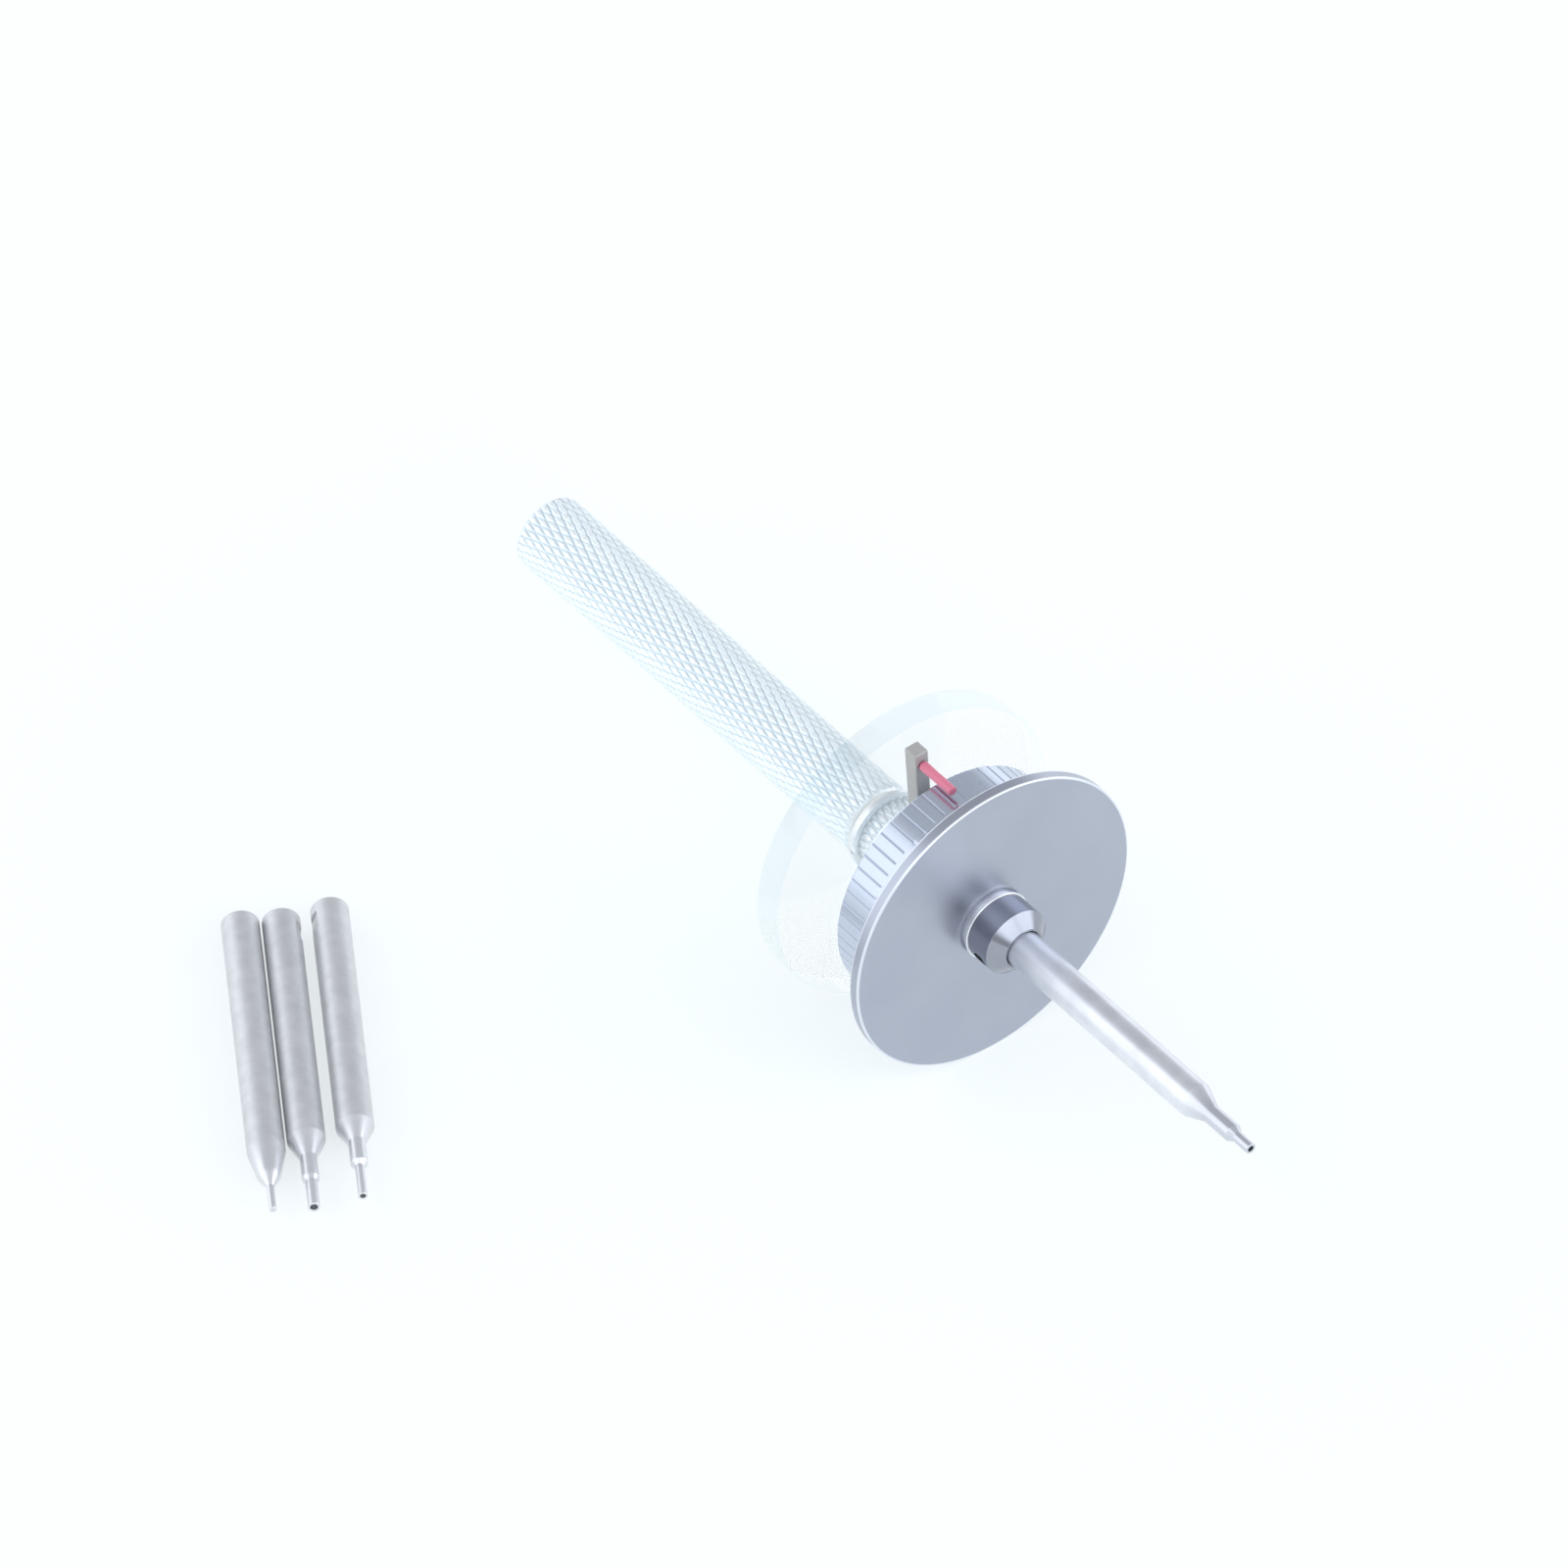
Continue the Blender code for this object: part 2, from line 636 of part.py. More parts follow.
def build_pointer(pointer):
    """The square post with a round spigot in the bush, and the red arm that stands out of it over the drum."""
    foot = BOSS_DIAMETER / 2 + TOUCH_GAP
    height = POST_TOP_RADIUS - foot
    size = (POST_THICKNESS, POST_WIDTH, height)
    post_mesh = box_mesh("pointer_post", size, (0, 0, foot + height / 2))
    post = add_part("pointer_post", post_mesh, STEEL, pointer, (BOSS_MIDDLE, 0, 0))
    edges = post.modifiers.new("edges", "BEVEL")
    edges.width = POST_EDGE
    edges.segments = 2
    spigot = cylinder_mesh(
        "post_spigot", POST_SPIGOT_DIAMETER / 2, foot - POST_SPIGOT_LENGTH, foot + 2 * POST_EDGE, SMALL_STEPS
    )
    join = post.modifiers.new("spigot", "BOOLEAN")
    join.operation = "UNION"
    join.solver = "EXACT"
    join.object = cutter("post_spigot", spigot, pointer, (BOSS_MIDDLE, 0, 0))

    post_front = BOSS_MIDDLE + POST_THICKNESS / 2
    arm_back = post_front + SIGHT_GAP
    arm_front = DRUM_BACK + ARM_REACH
    spigot_back = arm_back - ARM_SPIGOT_LENGTH
    spigot_radius = ARM_SPIGOT_DIAMETER / 2
    radius = ARM_DIAMETER / 2
    lift = (0, 0, ARM_RADIUS)
    hole_outline = [
        (post_front + OVERCUT, 0.0),
        (post_front + OVERCUT, spigot_radius + SIGHT_GAP),
        (spigot_back - SIGHT_GAP, spigot_radius + SIGHT_GAP),
        (spigot_back - SIGHT_GAP, 0.0),
    ]
    hole = cutter("arm_hole", profile_mesh("arm_hole", hole_outline, False), pointer, lift)
    add_screw(hole, TINY_STEPS)
    cut(post, hole)
    arm_outline = [
        (arm_front, 0.0),
        (arm_front, radius - ARM_CHAMFER),
        (arm_front - ARM_CHAMFER, radius),
        (arm_back, radius),
        (arm_back, spigot_radius),
        (spigot_back, spigot_radius),
        (spigot_back, 0.0),
    ]
    turned("pointer_arm", arm_outline, TINY_STEPS, RED, pointer, lift)


def build_bit(name, tip, flat_azimuth, parent, location=(0, 0, 0)):
    """A bit with its butt at its origin and a short flat for the lock screw."""
    bit = turned(name, tip.profile(), MEDIUM_STEPS, STEEL, parent, location)
    radius = SHANK_DIAMETER / 2
    size = (FLAT_LENGTH, 2 * radius, FLAT_DEPTH + OVERCUT)
    centre = (FLAT_FROM_BUTT, 0, radius - FLAT_DEPTH + size[2] / 2)
    flat = cutter(name + "_flat", box_mesh(name + "_flat", size, centre), parent, location)
    flat.rotation_euler.x = flat_azimuth
    cut(bit, flat)


def spare_outline(across, along, tip):
    """The corners of a spare bit's profile on the table, measured from the flange's place."""
    forward = Vector((math.cos(SPARES_HEADING), math.sin(SPARES_HEADING)))
    aside = Vector((-forward.y, forward.x))
    butt = Vector((-SPARES_BACK, -SPARES_ASIDE)) + across * aside + along * forward
    return [butt + s * forward + side * r * aside for s, r in tip.profile() for side in (-1, 1)]


def footprint_centre():
    """Middle of the box round everything, seen from above, measured from the flange's place on the axis."""
    half_width = AXIS_HEIGHT
    corners = [Vector((HANDLE_BACK, half_width)), Vector((BIT_TIP, -half_width))]
    for _, tip, across, along, _ in SPARE_BITS:
        corners += spare_outline(across, along, tip)
    xs = [corner.x for corner in corners]
    ys = [corner.y for corner in corners]
    return (min(xs) + max(xs)) / 2, (min(ys) + max(ys)) / 2


def build():
    centre_x, centre_y = footprint_centre()
    tool = empty("tool_axis", None, (-centre_x, -centre_y, AXIS_HEIGHT))
    pointer = empty("pointer_axis", tool, (0, 0, 0), (POINTER_LEAN, 0, 0))
    build_handle(tool)
    build_spindle(tool)
    build_drum(tool)
    build_flange(tool)
    build_nose(tool)
    build_set_screws(tool)
    build_thrust_washers(tool)
    build_disc(pointer)
    build_wave_washer(pointer)
    build_pointer(pointer)
    build_bit("bit_installed", KEY_TIP, LOCK_SCREW_AZIMUTH, tool, (BIT_BUTT, 0, 0))

    row_place = (-SPARES_BACK - centre_x, -SPARES_ASIDE - centre_y, SHANK_DIAMETER / 2)
    row = empty("spare_bit_row", None, row_place, (0, 0, SPARES_HEADING))
    for name, tip, across, along, azimuth in SPARE_BITS:
        build_bit(name, tip, azimuth, row, (along, across, 0))

    bpy.context.view_layer.update()
    for part in PARTS.objects:
        if part.type == "MESH" and part.data.polygons:
            smooth(part)


clear_scene()
PARTS = new_collection("graduated_pin_vise")
CUTTERS = new_collection("cutters")
build()
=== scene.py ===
"""A graduated pin vise with a clear finger disc and a red pointer, beside its three spare bits.

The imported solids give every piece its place. Each piece that shows is built again here as a fine surface and
dressed in the finish that the real one has. Lengths are in metres, and MM turns millimetres into them.
"""

import json
import logging
import math
from dataclasses import dataclass, field
from enum import Enum
from typing import Any

import bpy
import numpy as np
from mathutils import Euler, Matrix, Vector


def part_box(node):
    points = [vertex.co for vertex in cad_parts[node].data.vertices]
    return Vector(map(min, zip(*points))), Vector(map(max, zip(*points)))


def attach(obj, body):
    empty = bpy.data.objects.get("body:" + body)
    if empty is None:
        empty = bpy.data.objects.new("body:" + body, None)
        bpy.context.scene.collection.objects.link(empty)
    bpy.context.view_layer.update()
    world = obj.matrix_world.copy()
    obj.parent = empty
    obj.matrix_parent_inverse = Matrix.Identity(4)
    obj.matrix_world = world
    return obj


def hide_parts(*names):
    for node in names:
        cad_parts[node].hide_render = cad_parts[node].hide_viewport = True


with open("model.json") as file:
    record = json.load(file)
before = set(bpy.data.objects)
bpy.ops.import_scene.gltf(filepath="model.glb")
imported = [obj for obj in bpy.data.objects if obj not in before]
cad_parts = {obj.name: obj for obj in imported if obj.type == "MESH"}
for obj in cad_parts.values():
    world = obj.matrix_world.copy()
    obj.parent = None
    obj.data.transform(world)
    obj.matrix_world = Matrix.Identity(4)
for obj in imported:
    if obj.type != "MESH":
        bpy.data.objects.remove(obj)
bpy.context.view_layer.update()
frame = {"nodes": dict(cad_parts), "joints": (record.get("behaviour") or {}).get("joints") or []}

LOG = logging.getLogger("pin_vise")
MM = 0.001
GAP = 0.3 * MM  # between pieces that are pressed or screwed together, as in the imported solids
FINE = 192  # points round a large piece
PLAIN = 128  # points round a middle-sized piece
SMALL = 64  # points round a screw or a tip
SAME = 1e-9  # lengths closer than this are the same
SHARP = 28.0  # degrees, edges that turn more stay sharp
AHEAD = Vector((1, 0, 0))
UP = Vector((0, 0, 1))

Profile = list[tuple[float, float, float]]  # corners as (station, radius, edge radius)
Numbers = np.ndarray | float
Tree = bpy.types.NodeTree
Socket = bpy.types.NodeSocket
Thing = bpy.types.Object


# ---------------------------------------------------------------- places


@dataclass(frozen=True)
class Lie:
    """A piece's own axis: where it starts, which way it points, and where its angle 0 is."""

    origin: Vector
    axis: Vector
    zero: Vector

    def basis(self) -> np.ndarray:
        """Rows: the axis, the direction of angle 0, and that of a quarter turn."""
        axis = self.axis.normalized()
        zero = (self.zero - axis * self.zero.dot(axis)).normalized()
        return np.array([axis, zero, axis.cross(zero)])

    def turn(self) -> Euler:
        """The rotation that takes X to the axis and Y to angle 0."""
        return Matrix(self.basis().tolist()).transposed().to_euler()

    def points(self, stations: Numbers, radii: Numbers, angles: Numbers) -> np.ndarray:
        """Places polar coordinates: origin + station * axis + radius * (cos * zero + sin * quarter).

        Args:
            stations: Distances along the axis.
            radii: Distances from it, of the same shape or one that broadcasts to it.
            angles: Angles about it, likewise.

        Returns:
            The points, with one more dimension of three.
        """
        axis, zero, quarter = self.basis()
        s, r, a = np.broadcast_arrays(stations, radii, angles)
        out = s[..., None] * axis + (r * np.cos(a))[..., None] * zero + (r * np.sin(a))[..., None] * quarter
        return out + np.array(self.origin)


def middle(node: str) -> Vector:
    """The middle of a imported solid's box."""
    low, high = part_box(node)
    return (low + high) / 2


def tool_lie() -> Lie:
    """The tool's axis along +X, with stations counted from the world's origin and angle 0 straight up."""
    centre = middle("handle")
    return Lie(Vector((0.0, centre.y, centre.z)), AHEAD, UP)


@dataclass(frozen=True)
class Span:
    """What a round solid on the tool's axis measures."""

    back: float
    front: float
    radius: float

    @classmethod
    def of(cls, node: str) -> "Span":
        """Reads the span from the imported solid's box."""
        low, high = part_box(node)
        return cls(low.x, high.x, (high.z - low.z) / 2)


# ---------------------------------------------------------------- surfaces


class Shell:
    """Collects rows of points and the faces between them, for one closed piece."""

    def __init__(self) -> None:
        """Starts with nothing."""
        self.points: list[np.ndarray] = []
        self.marks_and_painted_light: list[np.ndarray] = []
        self.faces: list[list[int]] = []
        self.count = 0

    def add(self, points: np.ndarray, marks_and_painted_light: Numbers = 0.0) -> np.ndarray:
        """Adds points. Their mark is 1 in a groove, on a broken edge or where a polished end begins, else 0;
        in knurl grooves it carries painted shade and on broken edges a painted highlight.

        Args:
            points: An array of points, of any shape before the last dimension.
            marks_and_painted_light: One number or one for each point, from 0 to 1.

        Returns:
            The points' numbers in the mesh, in the same shape.
        """
        shape = points.shape[:-1]
        size = int(np.prod(shape))
        self.points.append(points.reshape(-1, 3))
        self.marks_and_painted_light.append(np.broadcast_to(marks_and_painted_light, shape).reshape(-1))
        self.count += size
        return np.arange(self.count - size, self.count).reshape(shape)

    def join(self, corners: tuple[np.ndarray, ...]) -> None:
        """Adds one face for each entry of the corner arrays."""
        self.faces += np.stack([c.reshape(-1) for c in corners], axis=1).tolist()

    def bridge(self, first: np.ndarray, second: np.ndarray) -> None:
        """Joins two closed rings of the same number of points by quads that face outwards."""
        self.join((first, second, np.roll(second, -1), np.roll(first, -1)))

    def stack(self, rows: np.ndarray, looped: bool = False) -> None:
        """Bridges each ring of a grid to the next one, and the last to the first if looped."""
        following = np.roll(rows, -1, axis=0) if looped else rows[1:]
        these = rows if looped else rows[:-1]
        self.join((these, following, np.roll(following, -1, axis=1), np.roll(these, -1, axis=1)))

    def close(self, ring: np.ndarray, lie: Lie, station: float, ahead: bool) -> None:
        """Closes a ring with a fan round a point of the axis, which lies ahead of it or behind it."""
        tip = np.broadcast_to(self.add(lie.points(station, 0.0, 0.0)), ring.shape)
        ends = (ring, np.roll(ring, -1)) if ahead else (np.roll(ring, -1), ring)
        self.join((tip, *ends))

    def mesh(self, name: str) -> bpy.types.Mesh:
        """Makes the Blender mesh, with the marks, painted shade and painted highlight as its point attribute
        "groove".
        """
        made = bpy.data.meshes.new(name)
        made.from_pydata(np.concatenate(self.points).tolist(), [], self.faces)
        attribute = made.attributes.new("groove", "FLOAT", "POINT")
        attribute.data.foreach_set("value", np.concatenate(self.marks_and_painted_light).astype(np.float32))
        made.validate()
        return made


def softened(corners: Profile, arc_steps: int = 4) -> np.ndarray:
    """Rounds the corners of a profile, each by an arc that touches both sides.

    A plain point follows each arc a little way along the side, so that the flat beyond it shades flat.

    Args:
        corners: The corners in order, each with its edge radius, 0 for a sharp one.
        arc_steps: Straight steps in each arc.

    Returns:
        The points as (station, radius) rows.
    """
    return softened_and_highlit(corners, arc_steps)[0]


def softened_and_highlit(corners: Profile, arc_steps: int = 4) -> tuple[np.ndarray, np.ndarray]:
    """Like softened(), and says with 1 which points lie on an arc, where the finish colours the rounded edge
    lighter: a painted highlight, with some wear from handling.
    """
    out: list[np.ndarray] = []
    painted_highlight: list[float] = []
    places = [np.array(c[:2]) for c in corners]
    for number, (here, corner) in enumerate(zip(places, corners)):
        edge = corner[2]
        if not edge or number in (0, len(corners) - 1):
            out.append(here)
            painted_highlight.append(0.0)
            continue
        before = places[number - 1] - here
        after = places[number + 1] - here
        near, far = np.linalg.norm(before), np.linalg.norm(after)
        before, after = before / near, after / far
        half = math.acos(float(np.clip(before @ after, -1, 1))) / 2
        reach = min(edge / math.tan(half), 0.45 * near, 0.45 * far)
        radius = reach * math.tan(half)
        heart = here + (before + after) / np.linalg.norm(before + after) * radius / math.sin(half)
        start, end = here + before * reach, here + after * reach
        swing = np.linspace(0, 1, arc_steps + 1)[:, None]
        arc = heart + (start - heart) * (1 - swing) + (end - heart) * swing
        arc = heart + (arc - heart) / np.linalg.norm(arc - heart, axis=1)[:, None] * radius
        margin = 0.3 * reach
        out += [here + before * (reach + min(margin, 0.2 * near))]
        out += list(arc)
        out += [here + after * (reach + min(margin, 0.2 * far))]
        painted_highlight += [0.0, *np.ones(len(arc)), 0.0]
    return np.array(out), np.array(painted_highlight)


def circle(steps: int) -> np.ndarray:
    """Angles evenly spread once round."""
    return np.arange(steps) * math.tau / steps


def turned(corners: Profile, lie: Lie, steps: int) -> Shell:
    """A solid of revolution: each point of the profile makes a ring of its radius about the axis.

    Args:
        corners: The profile from the front end along the outside to the back. One that starts or ends on the
            axis is closed by a point there, and one that does neither is joined into a ring.
        lie: The axis that it turns about.
        steps: Points in each ring.

    Returns:
        The shell.
    """
    return revolved(softened(corners), lie, circle(steps))


def revolved(
    outline: np.ndarray,
    lie: Lie,
    angles: np.ndarray,
    shaped: np.ndarray | None = None,
    marks_and_painted_light: Numbers = 0.0,
) -> Shell:
    """Turns (station, radius) rows about the axis.

    Args:
        outline: The rows, in the order that turned() describes.
        lie: The axis.
        angles: Where each ring has its points.
        shaped: Radii for each row and each angle, where they differ from the row's own.
        marks_and_painted_light: The groove attribute, painted shade and painted highlight included, one number
            or a column or a grid of them.

    Returns:
        The shell.
    """
    shell = Shell()
    on_axis = outline[:, 1] < SAME
    inner = ~on_axis
    radii = np.repeat(outline[:, 1:2], len(angles), axis=1) if shaped is None else shaped
    ring_marks_and_painted_light = np.broadcast_to(marks_and_painted_light, radii.shape)[inner]
    rings = shell.add(lie.points(outline[inner, :1], radii[inner], angles[None]), ring_marks_and_painted_light)
    shell.stack(rings, looped=not on_axis.any())
    if on_axis[0]:
        shell.close(rings[0], lie, outline[0, 0], ahead=True)
    if on_axis[-1]:
        shell.close(rings[-1], lie, outline[-1, 0], ahead=False)
    return shell


def ring(front: float, back: float, outer: float, inner: float, edge: float) -> Profile:
    """The profile of a plain ring with softened outer edges."""
    return [(front, outer, edge), (back, outer, edge), (back, inner, edge / 2), (front, inner, edge / 2)]


def looped(corners: Profile, arc_steps: int = 4) -> np.ndarray:
    """Softens a ring's profile, whose last corner is followed by its first."""
    return softened(opened(corners), arc_steps)[:-1]


def opened(corners: Profile) -> Profile:
    """A ring's profile with a plain point halfway between last and first corner, at its start and its end."""
    between = (np.array(corners[0][:2]) + np.array(corners[-1][:2])) / 2
    return [(*between, 0.0), *corners, (*between, 0.0)]


# ---------------------------------------------------------------- finishes


def linear(code: str) -> tuple[float, float, float, float]:
    """An sRGB hex colour as the linear values that a shader takes."""
    values = [int(code[i : i + 2], 16) / 255 for i in (1, 3, 5)]
    straight = [v / 12.92 if v <= 0.04045 else ((v + 0.055) / 1.055) ** 2.4 for v in values]
    return (*straight, 1.0)


def add_node(tree: Tree, kind: str, inputs: dict[Any, Any], **settings: Any) -> bpy.types.Node:
    """Adds a node with its settings, values and links.

    Args:
        tree: The node tree.
        kind: The node's type, without the ShaderNode that all of them start with.
        inputs: For each socket, by name or number, a value or the socket that feeds it.
        settings: The node's own properties.

    Returns:
        The node.
    """
    made = tree.nodes.new("ShaderNode" + kind)
    for key, value in settings.items():
        setattr(made, key, value)
    for key, value in inputs.items():
        if isinstance(value, Socket):
            tree.links.new(value, made.inputs[key])
        else:
            made.inputs[key].default_value = value
    return made


def blank(name: str) -> tuple[bpy.types.Material, Tree, bpy.types.Node]:
    """A new material with its node tree and its shader."""
    made = bpy.data.materials.new(name)
    made.use_nodes = True
    return made, made.node_tree, made.node_tree.nodes["Principled BSDF"]


def marked(
    tree: Tree,
    vector: Socket,
    detail: float,
    rough: tuple[float, float],
    span: tuple[float, float] = (0.0, 1.0),
) -> tuple[Socket, Socket]:
    """The height of fine marks, and a roughness that follows it.

    Args:
        tree: The node tree.
        vector: Coordinates whose unit is the spacing of the marks.
        detail: How many finer layers lie on them.
        rough: The lowest and the highest roughness.
        span: The heights at which the two are reached.

    Returns:
        The sockets of both.
    """
    height = add_node(tree, "TexNoise", {"Vector": vector, "Scale": 1.0, "Detail": detail}).outputs["Fac"]
    limits = {"From Min": span[0], "From Max": span[1], "To Min": rough[0], "To Max": rough[1]}
    return height, add_node(tree, "MapRange", {"Value": height, **limits}).outputs[0]


def dress(tree: Tree, sources: dict[str, Socket], depth: float) -> None:
    """Feeds the shader.

    Args:
        tree: The node tree.
        sources: What feeds the shader's sockets. That of "Normal" is a height, which a bump turns into one.
        depth: The bump's distance.
    """
    bump = add_node(
        tree, "Bump", {"Height": sources["Normal"], "Strength": 1.0, "Distance": depth}
    )
    for name, source in {**sources, "Normal": bump.outputs[0]}.items():
        tree.links.new(source, tree.nodes["Principled BSDF"].inputs[name])


NOISE_RANGE = (0.3, 0.7)  # between which nearly all of a noise's values lie
DRAWN_STRETCH = 60  # how many times longer than wide a drawn mark is


class Grain(Enum):
    """Which way the tool marks of a finish run."""

    TURNED = "round the piece's axis"
    DRAWN = "along the piece's axis"
    CAST = "every way"


def grain_vector(tree: Tree, lie: Lie, grain: Grain, spacing: float) -> Socket:
    """Coordinates whose unit is the spacing of the tool marks, stretched the way they run.

    Turned marks depend only on the station and on the distance from the axis. Drawn marks are those that
    depend on the place across the axis, and hardly on the station.

    Args:
        tree: The node tree.
        lie: The piece's own axis.
        grain: Which way the marks run.
        spacing: Distance between two marks.

    Returns:
        The socket of the scaled vector.
    """
    place = add_node(tree, "TexCoord", {}).outputs["Object"]
    local = add_node(
        tree,
        "Mapping",
        {"Vector": place, "Location": lie.origin, "Rotation": lie.turn()},
        vector_type="TEXTURE",
    ).outputs[0]
    scale = Vector((1, 1, 1)) / spacing
    if grain is Grain.DRAWN:
        scale.x /= DRAWN_STRETCH
    if grain is Grain.TURNED:
        parts = add_node(tree, "SeparateXYZ", {0: local})
        across = add_node(tree, "CombineXYZ", {"Y": parts.outputs["Y"], "Z": parts.outputs["Z"]})
        radius = add_node(tree, "VectorMath", {0: across.outputs[0]}, operation="LENGTH")
        local = add_node(
            tree, "CombineXYZ", {"X": parts.outputs["X"], "Y": radius.outputs["Value"]}
        ).outputs[0]
    return add_node(tree, "VectorMath", {0: local, 1: scale}, operation="MULTIPLY").outputs[0]


@dataclass(frozen=True)
class Metal:
    """A machined or plated metal: marks from the tool, a slow change of tone, and a second colour where the
    groove attribute is 1, for filled lines, polished ends, painted shade in knurl grooves and a painted
    highlight on edges.
    """

    name: str
    light: str  # sRGB hex
    dark: str
    roughness: float
    spread: float  # how much the roughness changes from mark to mark
    grain: Grain
    mark: float  # spacing of the tool marks
    depth: float  # of their bump
    blotch: float = 4 * MM  # size of the slow changes of tone
    groove: str | None = None  # colour where the groove attribute is 1: filled lines, polished ends, painted groove shade, painted edge highlight
    groove_roughness: float | None = None  # there, where it isn't that of the rest
    metallic: float = 1.0

    def build(self, lie: Lie) -> bpy.types.Material:
        """Makes the material for a piece with this axis."""
        made, tree, shader = blank(self.name)
        shader.inputs["Metallic"].default_value = self.metallic
        vector = grain_vector(tree, lie, self.grain, self.mark)
        limits = (self.roughness - self.spread, self.roughness + self.spread)
        marks, rough = marked(tree, vector, 3.0, limits, NOISE_RANGE)
        place = add_node(tree, "TexCoord", {}).outputs["Object"]
        slow = add_node(
            tree, "TexNoise", {"Vector": place, "Scale": 1 / self.blotch, "Detail": 4.0}
        )
        low, high = NOISE_RANGE
        tone = add_node(
            tree, "MapRange", {"Value": slow.outputs["Fac"], "From Min": low, "From Max": high}
        )
        colour = add_node(
            tree,
            "Mix",
            {0: tone.outputs[0], 6: linear(self.dark), 7: linear(self.light)},
            data_type="RGBA",
        ).outputs[2]
        if self.groove:
            depth = add_node(tree, "Attribute", {}, attribute_name="groove").outputs["Fac"]
            colour = add_node(
                tree, "Mix", {0: depth, 6: colour, 7: linear(self.groove)}, data_type="RGBA"
            ).outputs[2]
            if self.groove_roughness is not None:
                rough = add_node(
                    tree, "Mix", {0: depth, 2: rough, 3: self.groove_roughness}, data_type="FLOAT"
                ).outputs[0]
        dress(tree, {"Base Color": colour, "Roughness": rough, "Normal": marks}, self.depth)
        return made


@dataclass(frozen=True)
class Coating:
    """Paint or plastic: a coloured body with a soft gloss and a fine unevenness."""

    name: str
    light: str
    dark: str
    roughness: float
    spread: float
    bump_size: float
    depth: float
    coat: float = 0.0

    def build(self, lie: Lie) -> bpy.types.Material:
        """Makes the material for a piece with this axis."""
        made, tree, shader = blank(self.name)
        vector = grain_vector(tree, lie, Grain.CAST, self.bump_size)
        skin, rough = marked(tree, vector, 3.0, (self.roughness - self.spread, self.roughness + self.spread))
        colour = add_node(
            tree,
            "Mix",
            {0: skin, 6: linear(self.dark), 7: linear(self.light)},
            data_type="RGBA",
        ).outputs[2]
        shader.inputs["Coat Weight"].default_value = self.coat
        dress(tree, {"Base Color": colour, "Roughness": rough, "Normal": skin}, self.depth)
        return made


@dataclass(frozen=True)
class Acrylic:
    """Clear cast acrylic, turned and polished: its cool rim and faint turning marks show it."""

    name: str = "clear_cast_acrylic"
    clear: str = "#FFFFFF"
    tint: str = "#66C8DE"  # at the rim, where light has come a long way through the disc
    index: float = 1.49
    body: float = 0.10  # share of the light that the clear body bends, the rest passes straight on
    mark: float = 0.25 * MM
    depth: float = 0.0002 * MM
    roughness: tuple[float, float] = (0.01, 0.05)

    def build(self, lie: Lie) -> bpy.types.Material:
        """Makes the material for a piece with this axis."""
        made, tree, shader = blank(self.name)
        shader.inputs["Transmission Weight"].default_value = 1.0
        shader.inputs["IOR"].default_value = self.index
        shader.inputs["Alpha"].default_value = self.body
        vector = grain_vector(tree, lie, Grain.TURNED, self.mark)
        marks, rough = marked(tree, vector, 2.0, self.roughness)
        edge = add_node(tree, "Attribute", {}, attribute_name="groove").outputs["Fac"]
        tint = add_node(
            tree,
            "Mix",
            {0: edge, 6: linear(self.clear), 7: linear(self.tint)},
            data_type="RGBA",
        ).outputs[2]
        dress(tree, {"Base Color": tint, "Roughness": rough, "Normal": marks}, self.depth)
        return made


# Knurled and left bright, so the crests catch light; the grooves' darker colour is painted shade
KNURLED_ALUMINIUM = Metal(
    "knurled_aluminium", "#F9FFFF", "#F1F8FB", 0.32, 0.06, Grain.CAST, 0.12 * MM, 0.002 * MM,
    groove="#DAE6EC", metallic=0.42,
)
# Faced and turned with a fine feed, then left satin: a soft even sheen with faint rings. The lighter colour on
# the broken outer edges is a painted highlight, with some wear from handling
SATIN_STEEL = Metal(
    "satin_turned_steel", "#B6BAC6", "#B0B4C1", 0.34, 0.03, Grain.TURNED, 0.22 * MM, 0.0003 * MM, 9 * MM,
    groove="#E4E8F0",
)
# The same steel ground a little smoother for the scale, with grey filled lines
SCALE_STEEL = Metal(
    "ground_scale_steel", "#CCD4E2", "#C5CDDC", 0.23, 0.02, Grain.TURNED, 0.30 * MM, 0.0002 * MM, 9 * MM,
    groove="#BAC2D2", groove_roughness=0.7,
)
# Hardened and lapped to a dark mirror
POLISHED_STEEL = Metal(
    "dark_polished_steel", "#A2A5AF", "#979AA4", 0.14, 0.02, Grain.TURNED, 0.25 * MM, 0.0002 * MM
)
# Plain bright turning
TURNED_STEEL = Metal(
    "turned_steel", "#F0F4F7", "#E6EAEE", 0.36, 0.05, Grain.TURNED, 0.15 * MM, 0.0005 * MM
)
# Plated over fine turning: a bright grey
NICKEL_PLATE = Metal(
    "nickel_plated_brass", "#F8F8F9", "#F0F1F3", 0.32, 0.04, Grain.TURNED, 0.20 * MM, 0.0003 * MM
)
# The same plating on the bush, which the disc keeps from wear; the darker colour in its knurl grooves is
# painted shade
FRESH_NICKEL = Metal(
    "fresh_nickel_plate", "#F9FDFF", "#F1F6F9", 0.38, 0.04, Grain.TURNED, 0.20 * MM, 0.0003 * MM,
    groove="#DAE6EC", metallic=0.45,
)
# Cold drawn square bar: lengthwise streaks, warm grey
DRAWN_STEEL = Metal(
    "drawn_steel", "#BCBAB7", "#AEADAA", 0.48, 0.08, Grain.DRAWN, 0.12 * MM, 0.002 * MM, metallic=0.4
)
